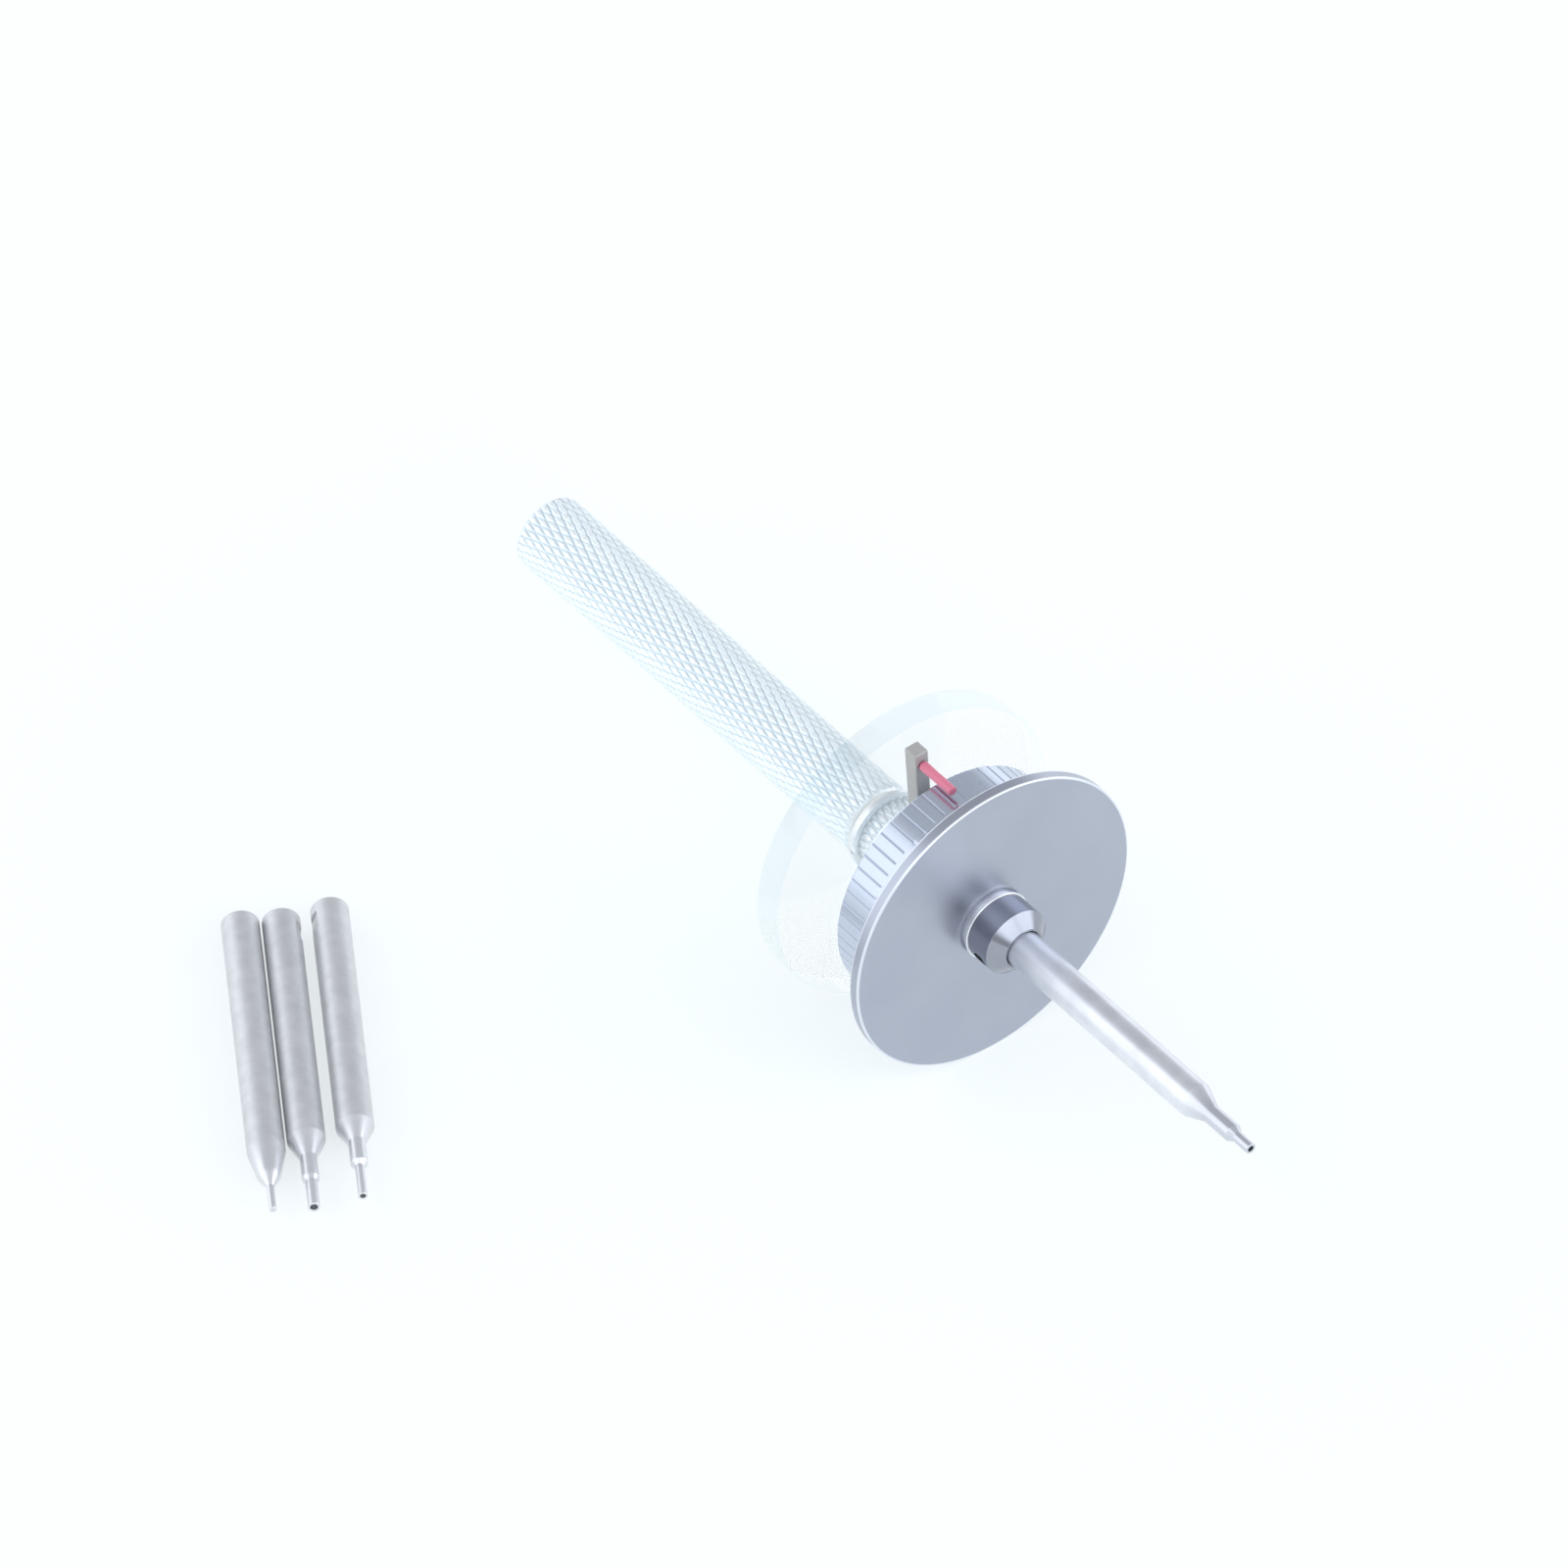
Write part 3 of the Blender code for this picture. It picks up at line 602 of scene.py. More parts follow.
# Hardened bit steel: the shank satin from the centreless grinder, the turned end polished
GROUND_STEEL = Metal(
    "ground_bit_steel", "#DCDCDE", "#D0D1D3", 0.52, 0.05, Grain.TURNED, 0.16 * MM, 0.0004 * MM, 1.5 * MM,
    groove="#E2E3E6", groove_roughness=0.34, metallic=0.9,
)
# The same steel after use in the tool, brighter and drawn lengthwise by fingers and chuck
HANDLED_STEEL = Metal(
    "handled_bit_steel", "#EAECF0", "#DBDDE3", 0.37, 0.05, Grain.DRAWN, 0.45 * MM, 0.0012 * MM, 2.5 * MM,
    groove="#D2D5DC", groove_roughness=0.30,
)
# Heat blackened: nearly black with a low sheen
BLACK_STEEL = Metal(
    "blackened_steel", "#35363A", "#232427", 0.42, 0.08, Grain.CAST, 0.10 * MM, 0.002 * MM
)
# Brushed on by hand, so not quite even
RED_PAINT = Coating("red_paint", "#E2839B", "#D96F89", 0.38, 0.08, 0.25 * MM, 0.010 * MM, coat=0.15)
# Cut from sheet, dull white
WHITE_PTFE = Coating("white_ptfe", "#F2F2EE", "#E6E6E1", 0.55, 0.05, 0.15 * MM, 0.003 * MM)
CLEAR_ACRYLIC = Acrylic()

Finish = Metal | Coating | Acrylic


# ---------------------------------------------------------------- pieces


@dataclass
class Maker:
    """Turns shells into finished pieces of one CAD body."""

    body: str

    def piece(
        self, name: str, shell: Shell, finish: Finish, lie: Lie, slot: str, sharp: float = SHARP
    ) -> Thing:
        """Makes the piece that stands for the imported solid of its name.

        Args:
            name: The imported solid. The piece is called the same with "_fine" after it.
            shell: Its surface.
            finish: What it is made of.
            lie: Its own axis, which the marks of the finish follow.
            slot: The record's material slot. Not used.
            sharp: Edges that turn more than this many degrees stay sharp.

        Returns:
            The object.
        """
        mesh = shell.mesh(name + "_fine")
        shade(mesh, sharp)
        piece = bpy.data.objects.new(name + "_fine", mesh)
        bpy.context.scene.collection.objects.link(piece)
        piece.data.materials.append(finish.build(lie))
        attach(piece, self.body)
        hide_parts(name)
        LOG.info("%s: %d faces, rides on %s", piece.name, len(mesh.polygons), self.body)
        return piece


def shade(mesh: bpy.types.Mesh, sharp: float = SHARP) -> None:
    """Shades a mesh smooth, except for edges that turn more than this many degrees."""
    mesh.shade_smooth()
    mesh.set_sharp_from_angle(angle=math.radians(sharp))


def drilled(piece: Thing, drill: Shell) -> None:
    """Cuts a drill's shape, a closed shell, out of a piece and keeps the result as the piece's own mesh."""
    tool = bpy.data.objects.new("drill", drill.mesh("drill"))
    bpy.context.scene.collection.objects.link(tool)
    cut = piece.modifiers.new("hole", "BOOLEAN")
    cut.operation = "DIFFERENCE"
    cut.solver = "EXACT"
    cut.object = tool
    bpy.context.view_layer.update()
    graph = bpy.context.evaluated_depsgraph_get()
    result = bpy.data.meshes.new_from_object(piece.evaluated_get(graph))
    piece.modifiers.clear()
    old = piece.data
    piece.data = result
    bpy.data.meshes.remove(old)
    bpy.data.objects.remove(tool)
    shade(result)


DRILL_PAST = 0.5 * MM  # how far a drill reaches beyond what it goes through


def rod(lie: Lie, low: float, high: float, radius: float) -> Shell:
    """A plain closed cylinder, for drilling with."""
    return turned([(high, 0, 0), (high, radius, 0), (low, radius, 0), (low, 0, 0)], lie, SMALL)


@dataclass(frozen=True)
class Knurl:
    """A diamond knurl: two sets of straight grooves at the helix angle, one each way round.

    With a the distance to the nearest groove's middle, counted in grooves, a groove is a V whose depth is
    1 - a / half width, and the crest beside it falls by (1 - 2 a) squared.
    """

    starts: int = 30
    helix: float = math.radians(20.0)
    groove_depth: float = 0.17 * MM
    groove_half_width: float = 0.22  # as a share of the distance between grooves
    crest_fall: float = 0.03 * MM

    def lead(self, radius: float) -> float:
        """Distance along the axis between two grooves of one set."""
        return math.tau * radius / (self.starts * math.tan(self.helix))

    def cut(self, one: np.ndarray, two: np.ndarray) -> tuple[np.ndarray, np.ndarray]:
        """How far the surface lies below the crests, and how deep in a groove it is, from 0 to 1.

        Args:
            one: Grooves passed along the first set. Only the nearer groove of the two sets counts.
            two: Grooves passed along the second set.

        Returns:
            The two arrays.
        """
        away = np.minimum(*(np.abs((turns + 0.5) % 1.0 - 0.5) for turns in (one, two)))
        groove = np.clip(1 - away / self.groove_half_width, 0, 1)
        return groove * self.groove_depth + (1 - 2 * away) ** 2 * self.crest_fall, groove


@dataclass
class Handle:
    """The knurled bar. Its mesh follows both sets of grooves, so each groove's bottom is an edge."""

    knurl: Knurl = Knurl()
    steps_per_groove: int = 8
    end_chamfer: float = 0.5 * MM
    bore_radius: float = 2.3 * MM
    face_rings: int = 5
    tail_rings: int = 8

    def build(self, maker: Maker, lie: Lie) -> None:
        """Builds the bar with its bore for the spindle."""
        span = Span.of("handle")
        per = 2 * self.steps_per_groove
        lead = self.knurl.lead(span.radius)
        length = span.front - span.back
        rows = 2 * round(length / lead * per / 2)
        j = np.arange(rows + 1)[:, None]
        i = 2 * np.arange(self.knurl.starts * self.steps_per_groove)[None] + j % 2
        station = span.front - length * j / rows
        below, groove = self.knurl.cut((i - j) / per, (i + j) / per)
        radius = span.radius - below
        from_end = np.minimum(j, rows - j) * length / rows
        limit = span.radius - np.maximum(self.end_chamfer - from_end, 0)
        cut_off = np.broadcast_to(limit, radius.shape) < radius
        radius = np.minimum(radius, limit)
        shell = Shell()
        angle = i * math.tau / (self.knurl.starts * per)
        # the groove depth becomes the groove attribute, which the finish colours darker: painted shade in the
        # knurl grooves
        grid = shell.add(
            lie.points(np.broadcast_to(station, radius.shape), radius, angle), np.where(cut_off, 0, groove)
        )
        self.weave(shell, grid)
        self.face(shell, lie, grid[0], angle[0], span)
        self.tail(shell, lie, grid[-1], angle[-1], span)
        maker.piece("handle", shell, KNURLED_ALUMINIUM, lie, "knurled_aluminium", sharp=60.0)

    @staticmethod
    def weave(shell: Shell, grid: np.ndarray) -> None:
        """Joins the staggered rows by diamonds whose sides follow the two sets of grooves."""
        ahead = np.roll(grid, -1, axis=1)
        behind = np.roll(grid, 1, axis=1)
        even = np.arange(2, len(grid) - 1, 2)
        odd = np.arange(1, len(grid) - 1, 2)
        shell.join((grid[even - 1], grid[even], grid[even + 1], ahead[even]))
        shell.join((grid[odd - 1], behind[odd], grid[odd + 1], grid[odd]))
        shell.join((grid[0], grid[1], ahead[0]))
        shell.join((grid[-2], grid[-1], ahead[-1]))

    def face(self, shell: Shell, lie: Lie, edge: np.ndarray, angle: np.ndarray, span: Span) -> None:
        """The front face and the bore behind it."""
        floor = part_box("spindle")[0].x - GAP
        outer = span.radius - self.end_chamfer
        rows = [(floor, self.bore_radius), (span.front, self.bore_radius)]
        rows += [(span.front, r) for r in np.linspace(self.bore_radius, outer, self.face_rings)[1:-1]]
        outline = np.array(rows)
        rings = shell.add(lie.points(outline[:, :1], outline[:, 1:], angle[None]))
        shell.stack(rings)
        shell.bridge(rings[-1], edge)
        shell.close(rings[0], lie, floor, ahead=True)

    def tail(self, shell: Shell, lie: Lie, edge: np.ndarray, angle: np.ndarray, span: Span) -> None:
        """The flat back end."""
        radii = np.linspace(span.radius - self.end_chamfer, 0, self.tail_rings)[1:-1, None]
        rings = shell.add(lie.points(np.full_like(radii, span.back), radii, angle[None]))
        shell.bridge(edge, rings[0])
        shell.stack(rings)
        shell.close(rings[-1], lie, span.back, ahead=False)


@dataclass
class Spindle:
    """The shaft that joins handle and drum, with a head in the drum and a journal for the disc's bush."""

    head: float = 2.5 * MM
    journal: float = 3.0 * MM
    tail: float = 2.0 * MM
    edge: float = 0.2 * MM

    def build(self, maker: Maker, lie: Lie) -> None:
        """Builds the shaft."""
        span = Span.of("spindle")
        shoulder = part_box("front_thrust_washer")[1].x
        journal_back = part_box("handle")[1].x + GAP
        corners = [
            (span.front, 0.0, 0.0),
            (span.front, self.head, self.edge),
            (shoulder, self.head, 0.0),
            (shoulder, self.journal, 0.1 * MM),
            (journal_back, self.journal, 0.1 * MM),
            (journal_back, self.tail, 0.0),
            (span.back, self.tail, self.edge),
            (span.back, 0.0, 0.0),
        ]
        maker.piece("spindle", turned(corners, lie, PLAIN), TURNED_STEEL, lie, "turned_steel")


@dataclass
class Drum:
    """The graduated drum.

    Round each ring the radius is the drum's own, less the depth of an engraved line within half its width of
    every sixtieth of a turn. Rings behind the plain band are cut and those on it are not.
    """

    divisions: int = 60
    plain_band: float = 2.8 * MM
    line_width: float = 0.28 * MM
    line_depth: float = 0.04 * MM
    edge: float = 0.15 * MM
    stem_bore: float = 3.5 * MM
    head_bore: float = 2.8 * MM
    recess_radius: float = 6.1 * MM
    recess_depth: float = 0.8 * MM
    screw_hole: float = 1.1 * MM
    rim: float = 0.5 * MM  # rings closer than this to the outside are engraved
    run_out: tuple[float, ...] = (0.06 * MM, 0.0, -0.04 * MM)  # rings where the lines end
    steps_between: int = 6

    def angles(self, radius: float) -> tuple[np.ndarray, np.ndarray]:
        """Angles round a ring, close together at each line, and how deep the line is there."""
        half = self.line_width / 2 / radius
        pitch = math.tau / self.divisions
        between = np.linspace(half, pitch - half, self.steps_between)[1:-1]
        place = np.concatenate([[-half, -0.55 * half, 0.0, 0.55 * half, half], between])
        depth = np.concatenate([[0.0, 0.85, 1.0, 0.85, 0.0], np.zeros(len(between))])
        return (circle(self.divisions)[:, None] + place).reshape(-1), np.tile(depth, self.divisions)

    def build(self, maker: Maker, lie: Lie) -> None:
        """Builds the drum and drills the holes of its two set screws."""
        span = Span.of("graduated_drum")
        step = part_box("nose")[0].x - GAP
        recess = span.back + self.recess_depth
        line_end = span.front - self.plain_band
        outline = softened(
            [
                (span.front, span.radius - 2 * MM, 0.0),
                (span.front, span.radius, self.edge),
                (span.back, span.radius, self.edge),
                (span.back, self.recess_radius, self.edge / 2),
                (recess, self.recess_radius, 0.0),
                (recess, self.head_bore, 0.05 * MM),
                (step, self.head_bore, 0.0),
                (step, self.stem_bore, 0.0),
                (span.front, self.stem_bore, 0.05 * MM),
                (span.front, self.stem_bore + 1 * MM, 0.0),
            ]
        )
        before = int(np.searchsorted(-outline[:, 0], -line_end))
        cuts = [[line_end + ahead, span.radius] for ahead in self.run_out]
        outline = np.insert(outline, before, cuts, axis=0)
        angles, depth = self.angles(span.radius)
        engraved = (outline[:, 1] > span.radius - self.rim) & (outline[:, 0] <= line_end)
        engraved &= outline[:, 0] > span.back + SAME
        floor = np.minimum(outline[:, 1:], span.radius - self.line_depth * depth)
        radii = np.where(engraved[:, None] & (depth > 0), floor, outline[:, 1:])
        shell = revolved(outline, lie, angles, radii, engraved[:, None] * depth)
        piece = maker.piece("graduated_drum", shell, SCALE_STEEL, lie, "satin_steel")
        for node in ("nose_set_screw_1", "nose_set_screw_2"):
            screw = radial_lie(node, lie)
            drilled(piece, rod(screw, self.stem_bore - DRILL_PAST, span.radius + DRILL_PAST, self.screw_hole))


def radial_lie(node: str, lie: Lie) -> Lie:
    """The axis of a screw that stands out from the tool's axis, with stations counted from that axis."""
    centre = middle(node)
    foot = Vector((centre.x, lie.origin.y, lie.origin.z))
    return Lie(foot, centre - foot, AHEAD)


@dataclass
class Flange:
    """The satin plate in front of the drum. Both its edges are broken, and their arcs are coloured lighter: a
    painted highlight, with some wear from handling.
    """

    bore: float = 3.5 * MM
    edge: float = 0.18 * MM

    def build(self, maker: Maker, lie: Lie) -> None:
        """Builds the plate."""
        span = Span.of("front_flange")
        corners = [
            (span.front, span.radius, self.edge),
            (span.back, span.radius, self.edge),
            (span.back, self.bore, 0.05 * MM),
            (span.front, self.bore, 0.05 * MM),
        ]
        # the arcs of the outer edges take the finish's lighter edge colour: a painted highlight
        outline, painted_highlight = softened_and_highlit(opened(corners))
        painted_highlight = np.where(outline[:, 1] < self.bore + MM, 0.0, painted_highlight)
        shell = revolved(outline[:-1], lie, circle(2 * FINE), marks_and_painted_light=painted_highlight[:-1, None])
        maker.piece("front_flange", shell, SATIN_STEEL, lie, "satin_steel")


@dataclass
class Nose:
    """The dark chuck nose, its bright washer, and the holes for the bit and for the screw that holds it."""

    chamfer: float = 1.3 * MM
    mouth: float = 2.4 * MM
    bore: float = 2.05 * MM
    countersink: float = 0.15 * MM
    stem: float = 3.2 * MM
    washer_bore: float = 3.5 * MM
    washer_lip: float = 0.35 * MM
    screw_hole: float = 0.85 * MM

    def build(self, maker: Maker, lie: Lie) -> None:
        """Builds nose and washer."""
        low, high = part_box("nose")
        radius = (high.z - low.z) / 2
        washer = Span.of("nose_washer")
        shoulder = washer.front + 0.02 * MM
        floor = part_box("bit_installed")[0].x - GAP
        corners = [
            (floor, 0.0, 0.0),
            (floor, self.bore, 0.0),
            (high.x - self.countersink, self.bore, 0.0),
            (high.x, self.bore + self.countersink, 0.03 * MM),
            (high.x, self.mouth, 0.05 * MM),
            (high.x - self.chamfer, radius, 0.06 * MM),
            (shoulder, radius, 0.06 * MM),
            (shoulder, self.stem, 0.0),
            (low.x, self.stem, 0.2 * MM),
            (low.x, 0.0, 0.0),
        ]
        piece = maker.piece("nose", turned(corners, lie, FINE), POLISHED_STEEL, lie, "polished_steel")
        screw = lock_screw_lie()
        drilled(piece, rod(screw, self.bore - DRILL_PAST, radius + DRILL_PAST, self.screw_hole))
        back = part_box("front_flange")[1].x + 0.01 * MM
        lip = washer.front - self.washer_lip
        inset = washer.radius - 0.25 * MM
        corners = [
            (washer.front, washer.radius, 0.10 * MM),
            (lip, washer.radius, 0.10 * MM),
            (lip, inset, 0.0),
            (back, inset, 0.0),
            (back, self.washer_bore, 0.0),
            (washer.front, self.washer_bore, 0.0),
        ]
        shell = revolved(looped(corners), lie, circle(FINE))
        maker.piece("nose_washer", shell, NICKEL_PLATE, lie, "polished_steel")


def lock_screw_lie() -> Lie:
    """The axis of the screw that holds the bit, from its joint in the record."""
    joint = next(j for j in frame["joints"] if j["name"] == "lock_screw_turn")
    return Lie(Vector(joint["pos_m"]), Vector(joint["axis"]), AHEAD)


@dataclass
class GrubScrew:
    """A grub screw with a hexagon socket.

    The rings of the outside are circles. Those of the socket have the radius of a hexagon at their angle:
    its flat's distance over the cosine of the angle from that flat's middle.
    """

    radius: float
    tip: float  # station of its tip
    head: float  # and of its socket's end
    socket_share: float = 0.56
    socket_depth: float = 0.8 * MM
    chamfer: float = 0.15 * MM

    def build(self, maker: Maker, node: str, lie: Lie) -> None:
        """Builds the screw."""
        corner = self.socket_share * self.radius
        outer = self.radius
        rows = [
            (self.head - self.socket_depth, 0.0, 0),
            (self.head - self.socket_depth, corner, 1),
            (self.head - 0.04 * MM, corner, 1),
            (self.head, corner + 0.04 * MM, 1),
            (self.head, outer - self.chamfer, 0),
            (self.head - self.chamfer, outer, 0),
            (self.tip + self.chamfer, outer, 0),
            (self.tip, outer - self.chamfer, 0),
            (self.tip, 0.0, 0),
        ]
        outline = np.array([(s, r) for s, r, _ in rows])
        angles = circle(3 * SMALL)
        sixth = math.tau / 6
        hexagon = math.cos(sixth / 2) / np.cos(angles % sixth - sixth / 2)
        cornered = np.array([h for _, _, h in rows])[:, None]
        shaped = outline[:, 1:] * np.where(cornered, hexagon, 1.0)
        maker.piece(node, revolved(outline, lie, angles, shaped), BLACK_STEEL, lie, "blackened_steel")


@dataclass
class Washers:
    """The two plain thrust washers on the spindle."""

    bore: float = 3.3 * MM

    def build(self, maker: Maker, lie: Lie) -> None:
        """Builds both."""
        for node in ("front_thrust_washer", "rear_thrust_washer"):
            span = Span.of(node)
            outline = looped(ring(span.front, span.back, span.radius, self.bore, 0.06 * MM))
            maker.piece(node, revolved(outline, lie, circle(PLAIN)), WHITE_PTFE, lie, "white_ptfe")


@dataclass
class FingerDisc:
    """The clear disc with the bush that it turns on, the nut behind it and the wave washer in front."""

    edge: float = 0.3 * MM
    edge_steps: int = 6
    knurl: Knurl = Knurl(starts=28, groove_depth=0.15 * MM)
    knurl_rows: int = 64
    knurl_steps: int = 16  # points from one groove to the next
    knurl_run_out: float = 0.3 * MM  # plain ends of the knurled sleeve
    sleeve: float = 3.9 * MM
    journal: float = 3.05 * MM
    post_hole: float = 1.0 * MM
    post_hole_depth: float = 2.4 * MM
    nut_bore: float = 4.2 * MM
    notch_half_width: float = 0.6 * MM
    notch_depth: float = 0.3 * MM
    sheet: float = 0.2 * MM
    waves: int = 3
    wave_bore: float = 3.3 * MM

    def build(self, maker: Maker, lie: Lie, pointer: Lie) -> None:
        """Builds the four pieces."""
        disc = Span.of("finger_disc")
        corners = ring(disc.front, disc.back, disc.radius, self.sleeve + GAP, self.edge)
        outline = looped(corners, self.edge_steps)
        shell = revolved(outline, lie, circle(2 * FINE), marks_and_painted_light=outline[:, 1:] > disc.radius - self.edge)
        maker.piece("finger_disc", shell, CLEAR_ACRYLIC, lie, "clear_acrylic")
        self.build_bush(maker, lie, pointer, disc)
        self.build_nut(maker, lie)
        self.build_wave(maker, lie)

    def build_bush(self, maker: Maker, lie: Lie, pointer: Lie, disc: Span) -> None:
        """The flanged sleeve, knurled where the disc grips it and drilled for the pointer's post."""
        span = Span.of("disc_bush")
        boss_back = disc.front + GAP
        corners = [
            (span.front, span.radius, 0.25 * MM),
            (boss_back, span.radius, 0.12 * MM),
            (boss_back, self.sleeve, 0.0),
            (span.back, self.sleeve, 0.08 * MM),
            (span.back, self.journal, 0.05 * MM),
            (span.front, self.journal, 0.08 * MM),
        ]
        outline = looped(corners)
        front, back = boss_back - self.knurl_run_out, span.back + self.knurl_run_out
        rows = [[s, self.sleeve] for s in np.linspace(front, back, self.knurl_rows)]
        corner = np.flatnonzero(np.abs(outline[:, 1] - self.sleeve) < SAME)[0]
        outline = np.insert(outline, corner + 1, rows, axis=0)
        steps = self.knurl_steps * self.knurl.starts
        along = (outline[:, :1] - back) / self.knurl.lead(self.sleeve)
        around = np.arange(steps)[None] / self.knurl_steps
        below, groove = self.knurl.cut(around + along, around - along)
        cut = (outline[:, :1] < front - SAME) & (outline[:, :1] > back + SAME)
        cut &= np.abs(outline[:, 1:] - self.sleeve) < SAME
        # the groove depth becomes the groove attribute, which the finish colours darker: painted shade in the
        # bush's knurl grooves
        shell = revolved(outline, lie, circle(steps), outline[:, 1:] - cut * below, cut * groove)
        piece = maker.piece("disc_bush", shell, FRESH_NICKEL, lie, "nickel_plated_brass")
        low = span.radius - self.post_hole_depth
        drilled(piece, rod(pointer, low, span.radius + DRILL_PAST, self.post_hole))

    def build_nut(self, maker: Maker, lie: Lie) -> None:
        """The thin ring nut, with a notch on each side for a face spanner."""
        span = Span.of("disc_ring_nut")
        low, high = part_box("disc_ring_nut")
        outer = (high.z - low.z) / 2
        outline = looped(ring(span.front, span.back, outer, self.nut_bore, 0.05 * MM))
        angles = circle(4 * FINE)
        notched = np.abs(outer * np.cos(angles)) < self.notch_half_width
        radii = np.minimum(outline[:, 1:], np.where(notched, outer - self.notch_depth, outer))
        shell = revolved(outline, lie, angles, radii)
        maker.piece("disc_ring_nut", shell, TURNED_STEEL, lie, "turned_steel")

    def build_wave(self, maker: Maker, lie: Lie) -> None:
        """A thin ring whose stations swing by the cosine of three times the angle."""
        low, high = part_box("wave_washer")
        outer = (high.z - low.z) / 2
        centre = (low.x + high.x) / 2
        swing = (high.x - low.x - self.sheet) / 2
        outline = looped(
            ring(centre + self.sheet / 2, centre - self.sheet / 2, outer, self.wave_bore, 0.04 * MM)
        )
        angles = circle(FINE)
        stations = outline[:, :1] + swing * np.cos(self.waves * (angles[None] + math.pi / 2))
        shell = Shell()
        rings = shell.add(lie.points(stations, outline[:, 1:], angles[None]))
        shell.stack(rings, looped=True)
        maker.piece("wave_washer", shell, TURNED_STEEL, lie, "turned_steel")


@dataclass
class Pointer:
    """The square post on the bush and the red arm that reaches from it over the drum.

    The post's outline is a rounded rectangle above the bush and a circle, its spigot, below. The arm is a
    round rod whose coat of paint is a little thicker here and there.
    """

    thickness: float = 1.8 * MM
    width: float = 1.7 * MM
    corner: float = 0.16 * MM
    spigot: float = 0.7 * MM
    spigot_length: float = 2.4 * MM
    arm_spigot: float = 0.3 * MM
    arm_spigot_length: float = 1.2 * MM
    paint_swell: float = 0.035 * MM
    halvings: int = 40

    def section(self, angles: np.ndarray, shrink: float) -> np.ndarray:
        """Radii of the post's outline at each angle.

        A rectangle with round corners is the set of points at one distance from a smaller rectangle, so each
        radius is found by halving between the inside and the outside.

        Args:
            angles: Angles about the post's axis, from the tool's own axis.
            shrink: How far the outline is drawn in.

        Returns:
            The radii.
        """
        half = np.array([self.thickness, self.width]) / 2 - self.corner
        way = np.stack([np.cos(angles), np.sin(angles)], axis=1)
        low, high = np.zeros(len(angles)), np.full(len(angles), 2 * self.thickness)
        for _ in range(self.halvings):
            guess = (low + high) / 2
            beyond = np.maximum(np.abs(way * guess[:, None]) - half, 0)
            outside = np.linalg.norm(beyond, axis=1) > self.corner - shrink
            low, high = np.where(outside, low, guess), np.where(outside, guess, high)
        return low

    def build(self, maker: Maker, lie: Lie, pointer: Lie) -> None:
        """Builds post and arm."""
        foot = Span.of("disc_bush").radius + GAP
        top = self.reach("pointer_post", pointer)
        angles = circle(FINE)
        edge = self.corner
        rise = np.linspace(0, math.pi / 2, 5)
        rows = [(top, self.section(angles, edge) * share) for share in (0.0, 0.35, 0.7, 0.98)]
        bends = [(edge * (1 - math.cos(t)), edge * (1 - math.sin(t))) for t in rise]
        rows += [(top - down, self.section(angles, inwards)) for down, inwards in bends]
        rows += [(foot + upwards, self.section(angles, inwards)) for inwards, upwards in bends]
        round_section = np.full(len(angles), self.spigot)
        rows += [(foot, round_section), (foot - self.spigot_length + 0.1 * MM, round_section)]
        rows += [(foot - self.spigot_length, round_section - 0.1 * MM)]
        rows += [(foot - self.spigot_length, round_section * 0.0)]
        outline = np.array([(s, r.mean()) for s, r in rows])
        shell = revolved(outline, pointer, angles, np.array([r for _, r in rows]))
        post = maker.piece("pointer_post", shell, DRAWN_STEEL, pointer, "drawn_steel")
        self.build_arm(maker, post, pointer)

    @staticmethod
    def reach(node: str, pointer: Lie) -> float:
        """How far out along the pointer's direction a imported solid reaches."""
        points = np.array([v.co for v in frame["nodes"][node].data.vertices])
        return float(((points - np.array(pointer.origin)) @ np.array(pointer.axis)).max())

    def build_arm(self, maker: Maker, post: Thing, pointer: Lie) -> None:
        """The red arm, and the hole for its spigot in the post."""
        low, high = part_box("pointer_arm")
        centre = (low + high) / 2
        radius = (high.z - low.z) / 2
        arm = Lie(Vector((0, centre.y, centre.z)), AHEAD, UP)
        shoulder = pointer.origin.x + self.thickness / 2 + GAP / 2
        stations = np.linspace(high.x - 0.12 * MM, shoulder + 0.05 * MM, 40)
        phase = (stations - shoulder) / (high.x - shoulder) * math.tau
        swell = 0.5 + 0.5 * np.sin(1.4 * phase + 0.6) * np.cos(0.5 * phase)
        radii = radius - self.paint_swell * (1 - swell)
        rows = [(high.x, 0.0), (high.x, radii[0] - 0.14 * MM), (high.x - 0.04 * MM, radii[0] - 0.06 * MM)]
        rows += list(zip(stations, radii))
        rows += [(shoulder, radii[-1] - 0.05 * MM), (shoulder, self.arm_spigot)]
        rows += [(low.x + 0.05 * MM, self.arm_spigot), (low.x, self.arm_spigot - 0.05 * MM), (low.x, 0.0)]
        shell = revolved(np.array(rows), arm, circle(SMALL))
        maker.piece("pointer_arm", shell, RED_PAINT, arm, "red_paint")
        drilled(post, rod(arm, low.x - GAP / 2, shoulder + DRILL_PAST, self.arm_spigot + GAP / 2))


class TipKind(Enum):
    """The ends that the bits have."""

    KEY = "a neck and a hollow tip"
    PIN = "a long cone and a thin pin"


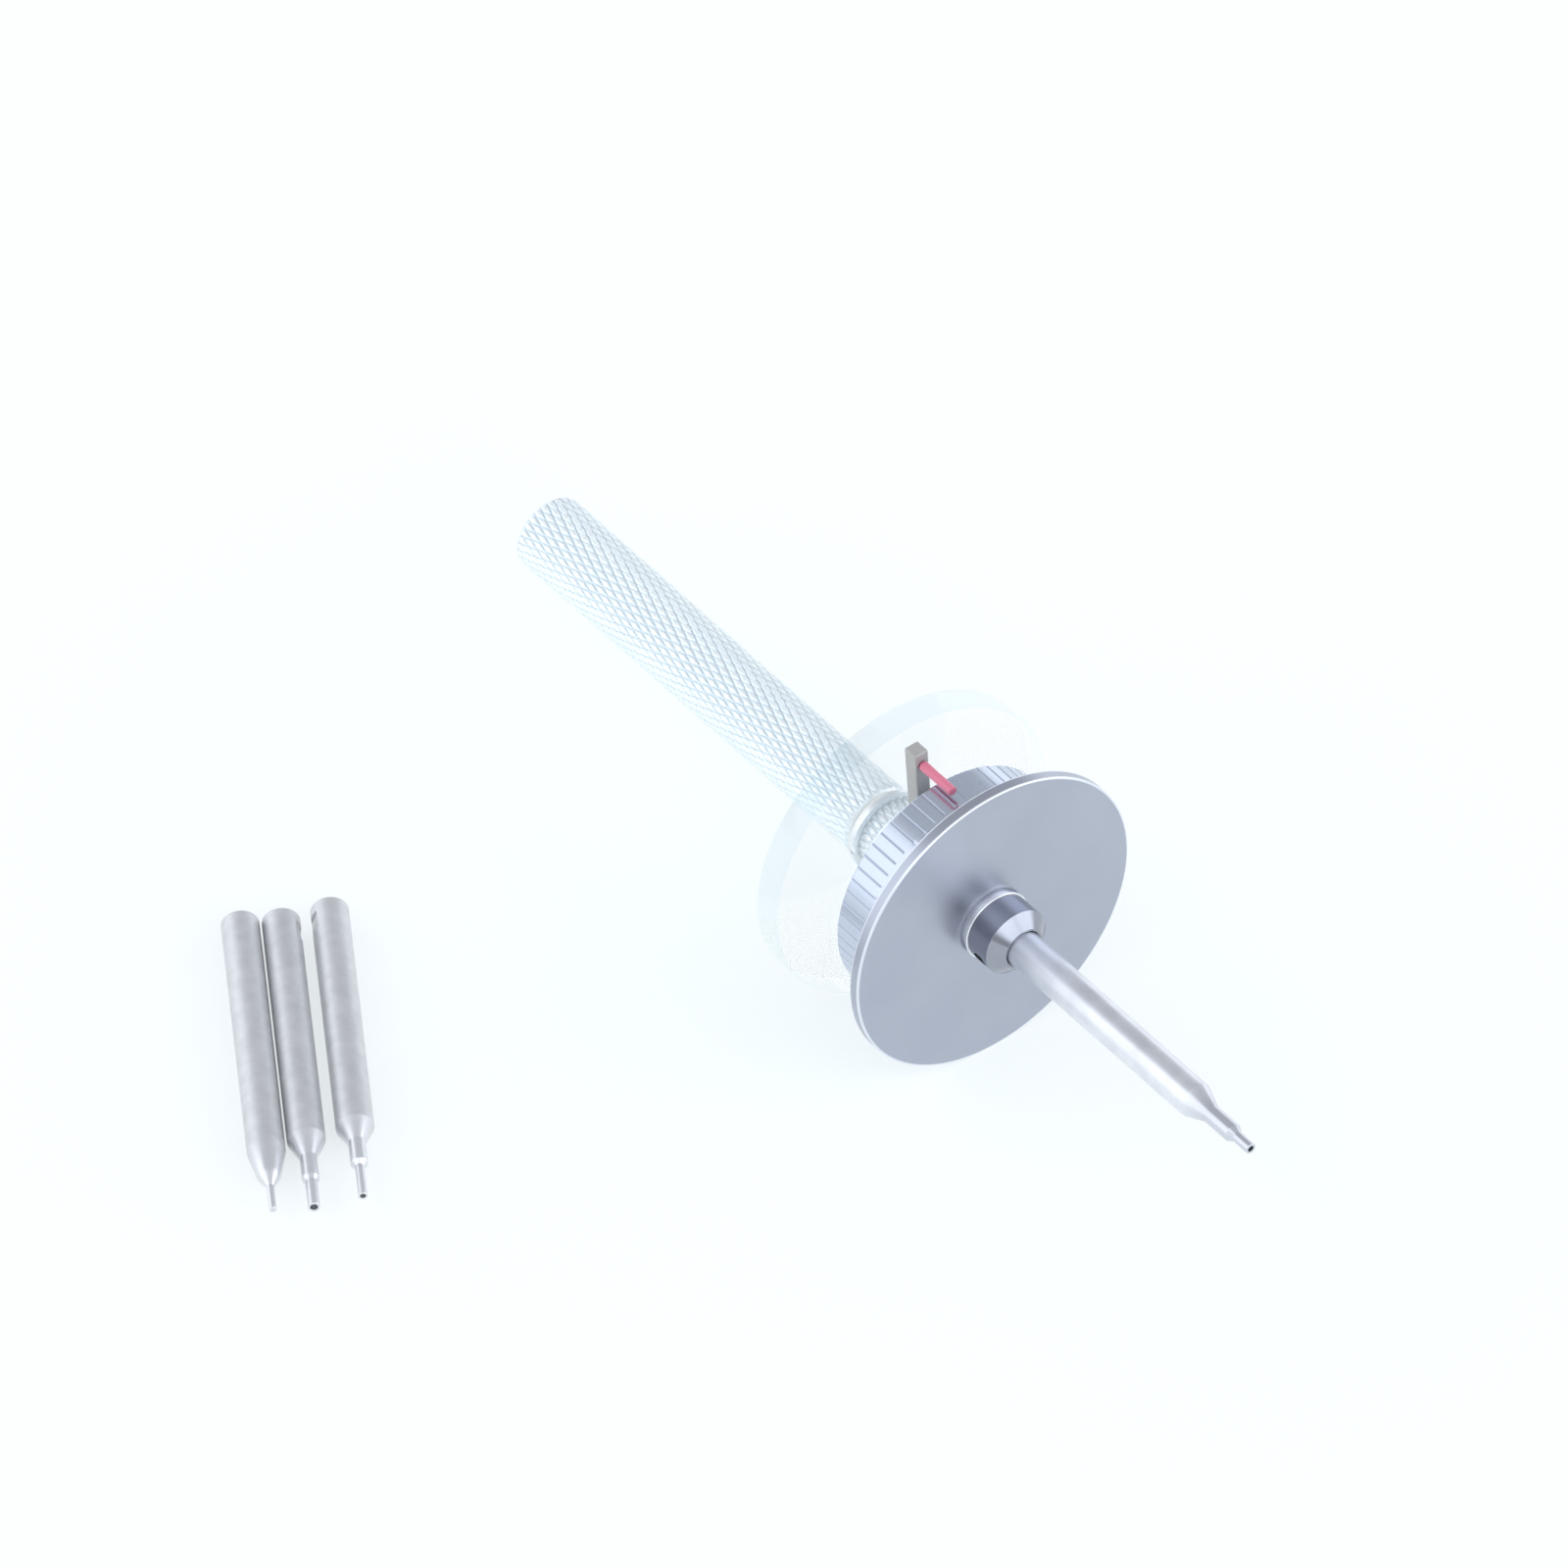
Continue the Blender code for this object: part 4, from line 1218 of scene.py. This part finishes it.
@dataclass
class Bit:
    """A bit: a Ø4 mm shank with a flat near its butt, a cone, a neck, a taper and a round tip.

    Within the flat, the radius is the smaller of the shank's own and the flat's distance from the axis over
    the cosine of the angle from its middle. Everything ahead of the shank is polished.
    """

    node: str
    kind: TipKind
    cone: float
    neck_radius: float
    neck: float
    taper: float
    tip_radius: float
    tip: float
    hollow_radius: float
    flat_turn: float  # angle of the flat from straight up
    length: float = 42.7 * MM
    shank: float = 2.0 * MM
    chamfer: float = 0.35 * MM
    flat_middle: float = 2.7 * MM
    flat_length: float = 2.2 * MM
    flat_depth: float = 0.25 * MM
    bullet: float = 2.5 * MM  # rounding of a cone that has no neck
    rough_past: float = 0.1 * MM  # how far the shank's grinding runs over onto the cone
    finish: Metal = GROUND_STEEL

    def outline(self) -> np.ndarray:
        """The profile from the tip to the butt, with soft edges."""
        end = self.length
        taper_foot = end - self.tip - self.taper
        cone_foot = taper_foot - self.neck
        if self.kind is TipKind.KEY:
            bottom = end - 4 * self.hollow_radius
            corners: Profile = [(bottom, 0.0, 0.0), (bottom, self.hollow_radius, 0.0)]
            corners += [(end, self.hollow_radius, 0.03 * MM), (end, self.tip_radius, 0.06 * MM)]
        else:
            corners = [(end, 0.0, 0.0), (end, self.tip_radius, 0.10 * MM)]
        corners += [(end - self.tip, self.tip_radius, 0.10 * MM)]
        corners += [(taper_foot, self.neck_radius, 0.15 * MM if self.neck else self.bullet)]
        if self.neck:
            corners += [(cone_foot, self.neck_radius, 0.20 * MM)]
        corners += [
            (cone_foot - self.cone, self.shank, 0.30 * MM),
            (self.chamfer, self.shank, 0.15 * MM),
            (0.0, self.shank - self.chamfer, 0.08 * MM),
            (0.0, 0.0, 0.0),
        ]
        return softened(corners)

    def build(self, maker: Maker, lie: Lie) -> None:
        """Builds the bit on an axis that starts at its butt."""
        outline = self.outline()
        low = self.flat_middle - self.flat_length / 2
        high = low + self.flat_length
        walls = [high + 0.01 * MM, high, low, low - 0.01 * MM]
        rows = np.array([[w, self.shank] for w in walls])
        at = int(np.flatnonzero(outline[:, 0] > high + 0.02 * MM)[-1]) + 1
        outline = np.insert(outline, at, rows, axis=0)
        angles = circle(FINE)
        away = np.maximum(np.cos(angles - self.flat_turn), 0.5)
        flat = (self.shank - self.flat_depth) / away
        inside = (outline[:, :1] >= low - SAME) & (outline[:, :1] <= high + SAME)
        radii = np.where(inside, np.minimum(outline[:, 1:], flat), outline[:, 1:])
        shank_end = self.length - self.tip - self.taper - self.neck - self.cone
        shell = revolved(outline, lie, angles, radii, marks_and_painted_light=outline[:, :1] > shank_end + self.rough_past)
        maker.piece(self.node, shell, self.finish, lie, "ground_steel")


# The first bit is in the tool. In millimetres: cone, neck's radius, neck, taper, tip's radius, tip, hollow's
# radius. In degrees: where the flat is.
BITS = (
    ("bit_installed", TipKind.KEY, (2.6, 1.02, 3.5, 0.8, 0.6, 2.2, 0.35), 112),
    ("spare_bit_pin", TipKind.PIN, (3.6, 1.25, 0, 1.5, 0.4, 3.4, 0), 180),
    ("spare_bit_wide", TipKind.KEY, (2.6, 0.92, 3.0, 0.5, 0.65, 3.7, 0.4), -75),
    ("spare_bit_narrow", TipKind.KEY, (2.3, 0.92, 3.0, 0.5, 0.5, 4.3, 0.3), 75),
)


SPARES_HEADING = math.radians(-32.8)


def spare_lie(bit: Bit, heading: float) -> Lie:
    """Where a spare bit lies: on the heading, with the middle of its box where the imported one's is.

    Args:
        bit: The bit.
        heading: Its direction seen from above, from +X.

    Returns:
        Its axis, from its butt.
    """
    way = Vector((math.cos(heading), math.sin(heading), 0.0))
    stations, radii = bit.outline()[:, :1], bit.outline()[:, 1:]
    along, out = stations * np.array(way.xy), radii * np.abs([way.y, way.x])
    own = ((along - out).min(axis=0) + (along + out).max(axis=0)) / 2
    centre = middle(bit.node)
    return Lie(Vector((centre.x - own[0], centre.y - own[1], centre.z)), way, UP)


# ---------------------------------------------------------------- studio


@dataclass(frozen=True)
class Patch:
    """A round patch of the surround: a softbox, or a place where there is less light."""

    towards: tuple[float, float, float]
    half_angle: float  # degrees
    blur: float  # degrees
    glow: float


@dataclass
class Studio:
    """A white table that glows a little, a bright surround with a darker ceiling, and the camera."""

    towards_camera: Vector = field(
        default_factory=lambda: Vector((0.5740, -0.4470, 0.6860)).normalized()
    )
    aim: Vector = field(default_factory=lambda: Vector((-0.00475, 0.01757, 0.02766)))
    frame_width: float = 160 * MM
    distance: float = 4.0
    sensor: float = 36.0
    walls: float = 1.55
    patches: tuple[Patch, ...] = (
        Patch((-0.20, 0.35, 0.91), 50, 2, 0.62),  # ceiling
        Patch((0.70, -0.70, 0.25), 22, 10, 0.60),  # the camera's own side
        Patch((0.88, -0.02, 0.42), 20, 12, 2.4),  # softbox in front of the bit
        Patch((0.62, 0.68, 0.34), 21, 8, 2.5),  # softbox on the far right
    )

    def build(self) -> None:
        """Builds everything that isn't the object."""
        scene = bpy.context.scene
        scene.view_settings.view_transform = "Standard"
        self.build_camera(scene)
        self.build_table()
        self.build_surround(scene)

    def build_camera(self, scene: bpy.types.Scene) -> None:
        """A long lens, far off, so that lines along the tool stay nearly parallel."""
        data = bpy.data.cameras.new("camera")
        data.sensor_width = self.sensor
        data.lens = self.sensor * self.distance / self.frame_width
        data.clip_end = 100.0
        camera = bpy.data.objects.new("camera", data)
        camera.location = self.aim + self.towards_camera * self.distance
        camera.rotation_mode = "QUATERNION"
        camera.rotation_quaternion = (-self.towards_camera).to_track_quat("-Z", "Y")
        scene.collection.objects.link(camera)
        scene.camera = camera

    @staticmethod
    def build_table() -> None:
        """A large plain white table whose own glow keeps shadows faint."""
        half = 6.0
        corners = [(-half, -half, 0), (half, -half, 0), (half, half, 0), (-half, half, 0)]
        mesh = bpy.data.meshes.new("table")
        mesh.from_pydata(corners, [], [(0, 1, 2, 3)])
        table = bpy.data.objects.new("table", mesh)
        bpy.context.scene.collection.objects.link(table)
        made, _, shader = blank("white_table")
        shader.inputs["Base Color"].default_value = linear("#A8AAAB")
        shader.inputs["Roughness"].default_value = 1.0
        shader.inputs["Specular IOR Level"].default_value = 0.0
        shader.inputs["Emission Color"].default_value = linear("#F8FEFF")
        shader.inputs["Emission Strength"].default_value = 0.63
        mesh.materials.append(made)

    @staticmethod
    def cone(tree: Tree, way: Socket, patch: Patch) -> Socket:
        """How much a direction lies inside a round patch of the surround, from 0 to 1."""
        towards = Vector(patch.towards).normalized()
        near = add_node(
            tree, "VectorMath", {0: way, 1: towards}, operation="DOT_PRODUCT"
        ).outputs["Value"]
        outer = math.cos(math.radians(patch.half_angle + patch.blur))
        inner = math.cos(math.radians(patch.half_angle - patch.blur))
        return add_node(
            tree,
            "MapRange",
            {"Value": near, "From Min": outer, "From Max": inner},
            interpolation_type="SMOOTHSTEP",
        ).outputs[0]

    def build_surround(self, scene: bpy.types.Scene) -> None:
        """White walls all round, with the patches over them one after another."""
        world = bpy.data.worlds.new("surround")
        scene.world = world
        world.use_nodes = True
        tree = world.node_tree
        way = add_node(tree, "TexCoord", {}).outputs["Generated"]
        glow: Socket | float = self.walls
        for patch in self.patches:
            layers = {0: self.cone(tree, way, patch), 2: glow, 3: patch.glow}
            glow = add_node(tree, "Mix", layers, data_type="FLOAT").outputs[0]
        back = tree.nodes["Background"]
        back.inputs["Color"].default_value = linear("#F2F6FC")
        tree.links.new(glow, back.inputs["Strength"])


# ---------------------------------------------------------------- the whole


def main() -> None:
    """Builds the object and its studio."""
    logging.basicConfig(level=logging.INFO, format="%(name)s %(message)s")
    lie = tool_lie()
    arm = middle("pointer_arm")
    lean = Vector((0.0, arm.y - lie.origin.y, arm.z - lie.origin.z)).normalized()
    foot = Vector((middle("pointer_post").x, lie.origin.y, lie.origin.z))
    pointer = Lie(foot, lean, AHEAD)

    tool = Maker("tool")
    Handle().build(tool, lie)
    Spindle().build(tool, lie)
    Drum().build(tool, lie)
    Flange().build(tool, lie)
    Nose().build(tool, lie)
    Washers().build(tool, lie)
    for node in ("nose_set_screw_1", "nose_set_screw_2"):
        GrubScrew(0.8 * MM, 3.5 * MM, 8.5 * MM).build(tool, node, radial_lie(node, lie))

    disc = Maker("pointer_disc")
    FingerDisc().build(disc, lie, pointer)
    Pointer().build(disc, lie, pointer)

    lock_screw = GrubScrew(0.8 * MM, 2.05 * MM, 3.7 * MM)
    lock_screw.build(Maker("lock_screw"), "bit_lock_screw", lock_screw_lie())
    made = [Bit(node, kind, *(v * MM for v in sizes), math.radians(turn)) for node, kind, sizes, turn in BITS]
    installed, *spares = made
    installed.finish = HANDLED_STEEL
    butt = Vector((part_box(installed.node)[0].x, lie.origin.y, lie.origin.z))
    installed.build(Maker("bit"), Lie(butt, lie.axis, lie.zero))
    for bit, body in zip(spares, ("spare_pin", "spare_wide", "spare_narrow")):
        bit.build(Maker(body), spare_lie(bit, SPARES_HEADING))

    Studio().build()
    bpy.context.view_layer.update()


if __name__ == "__main__":
    main()
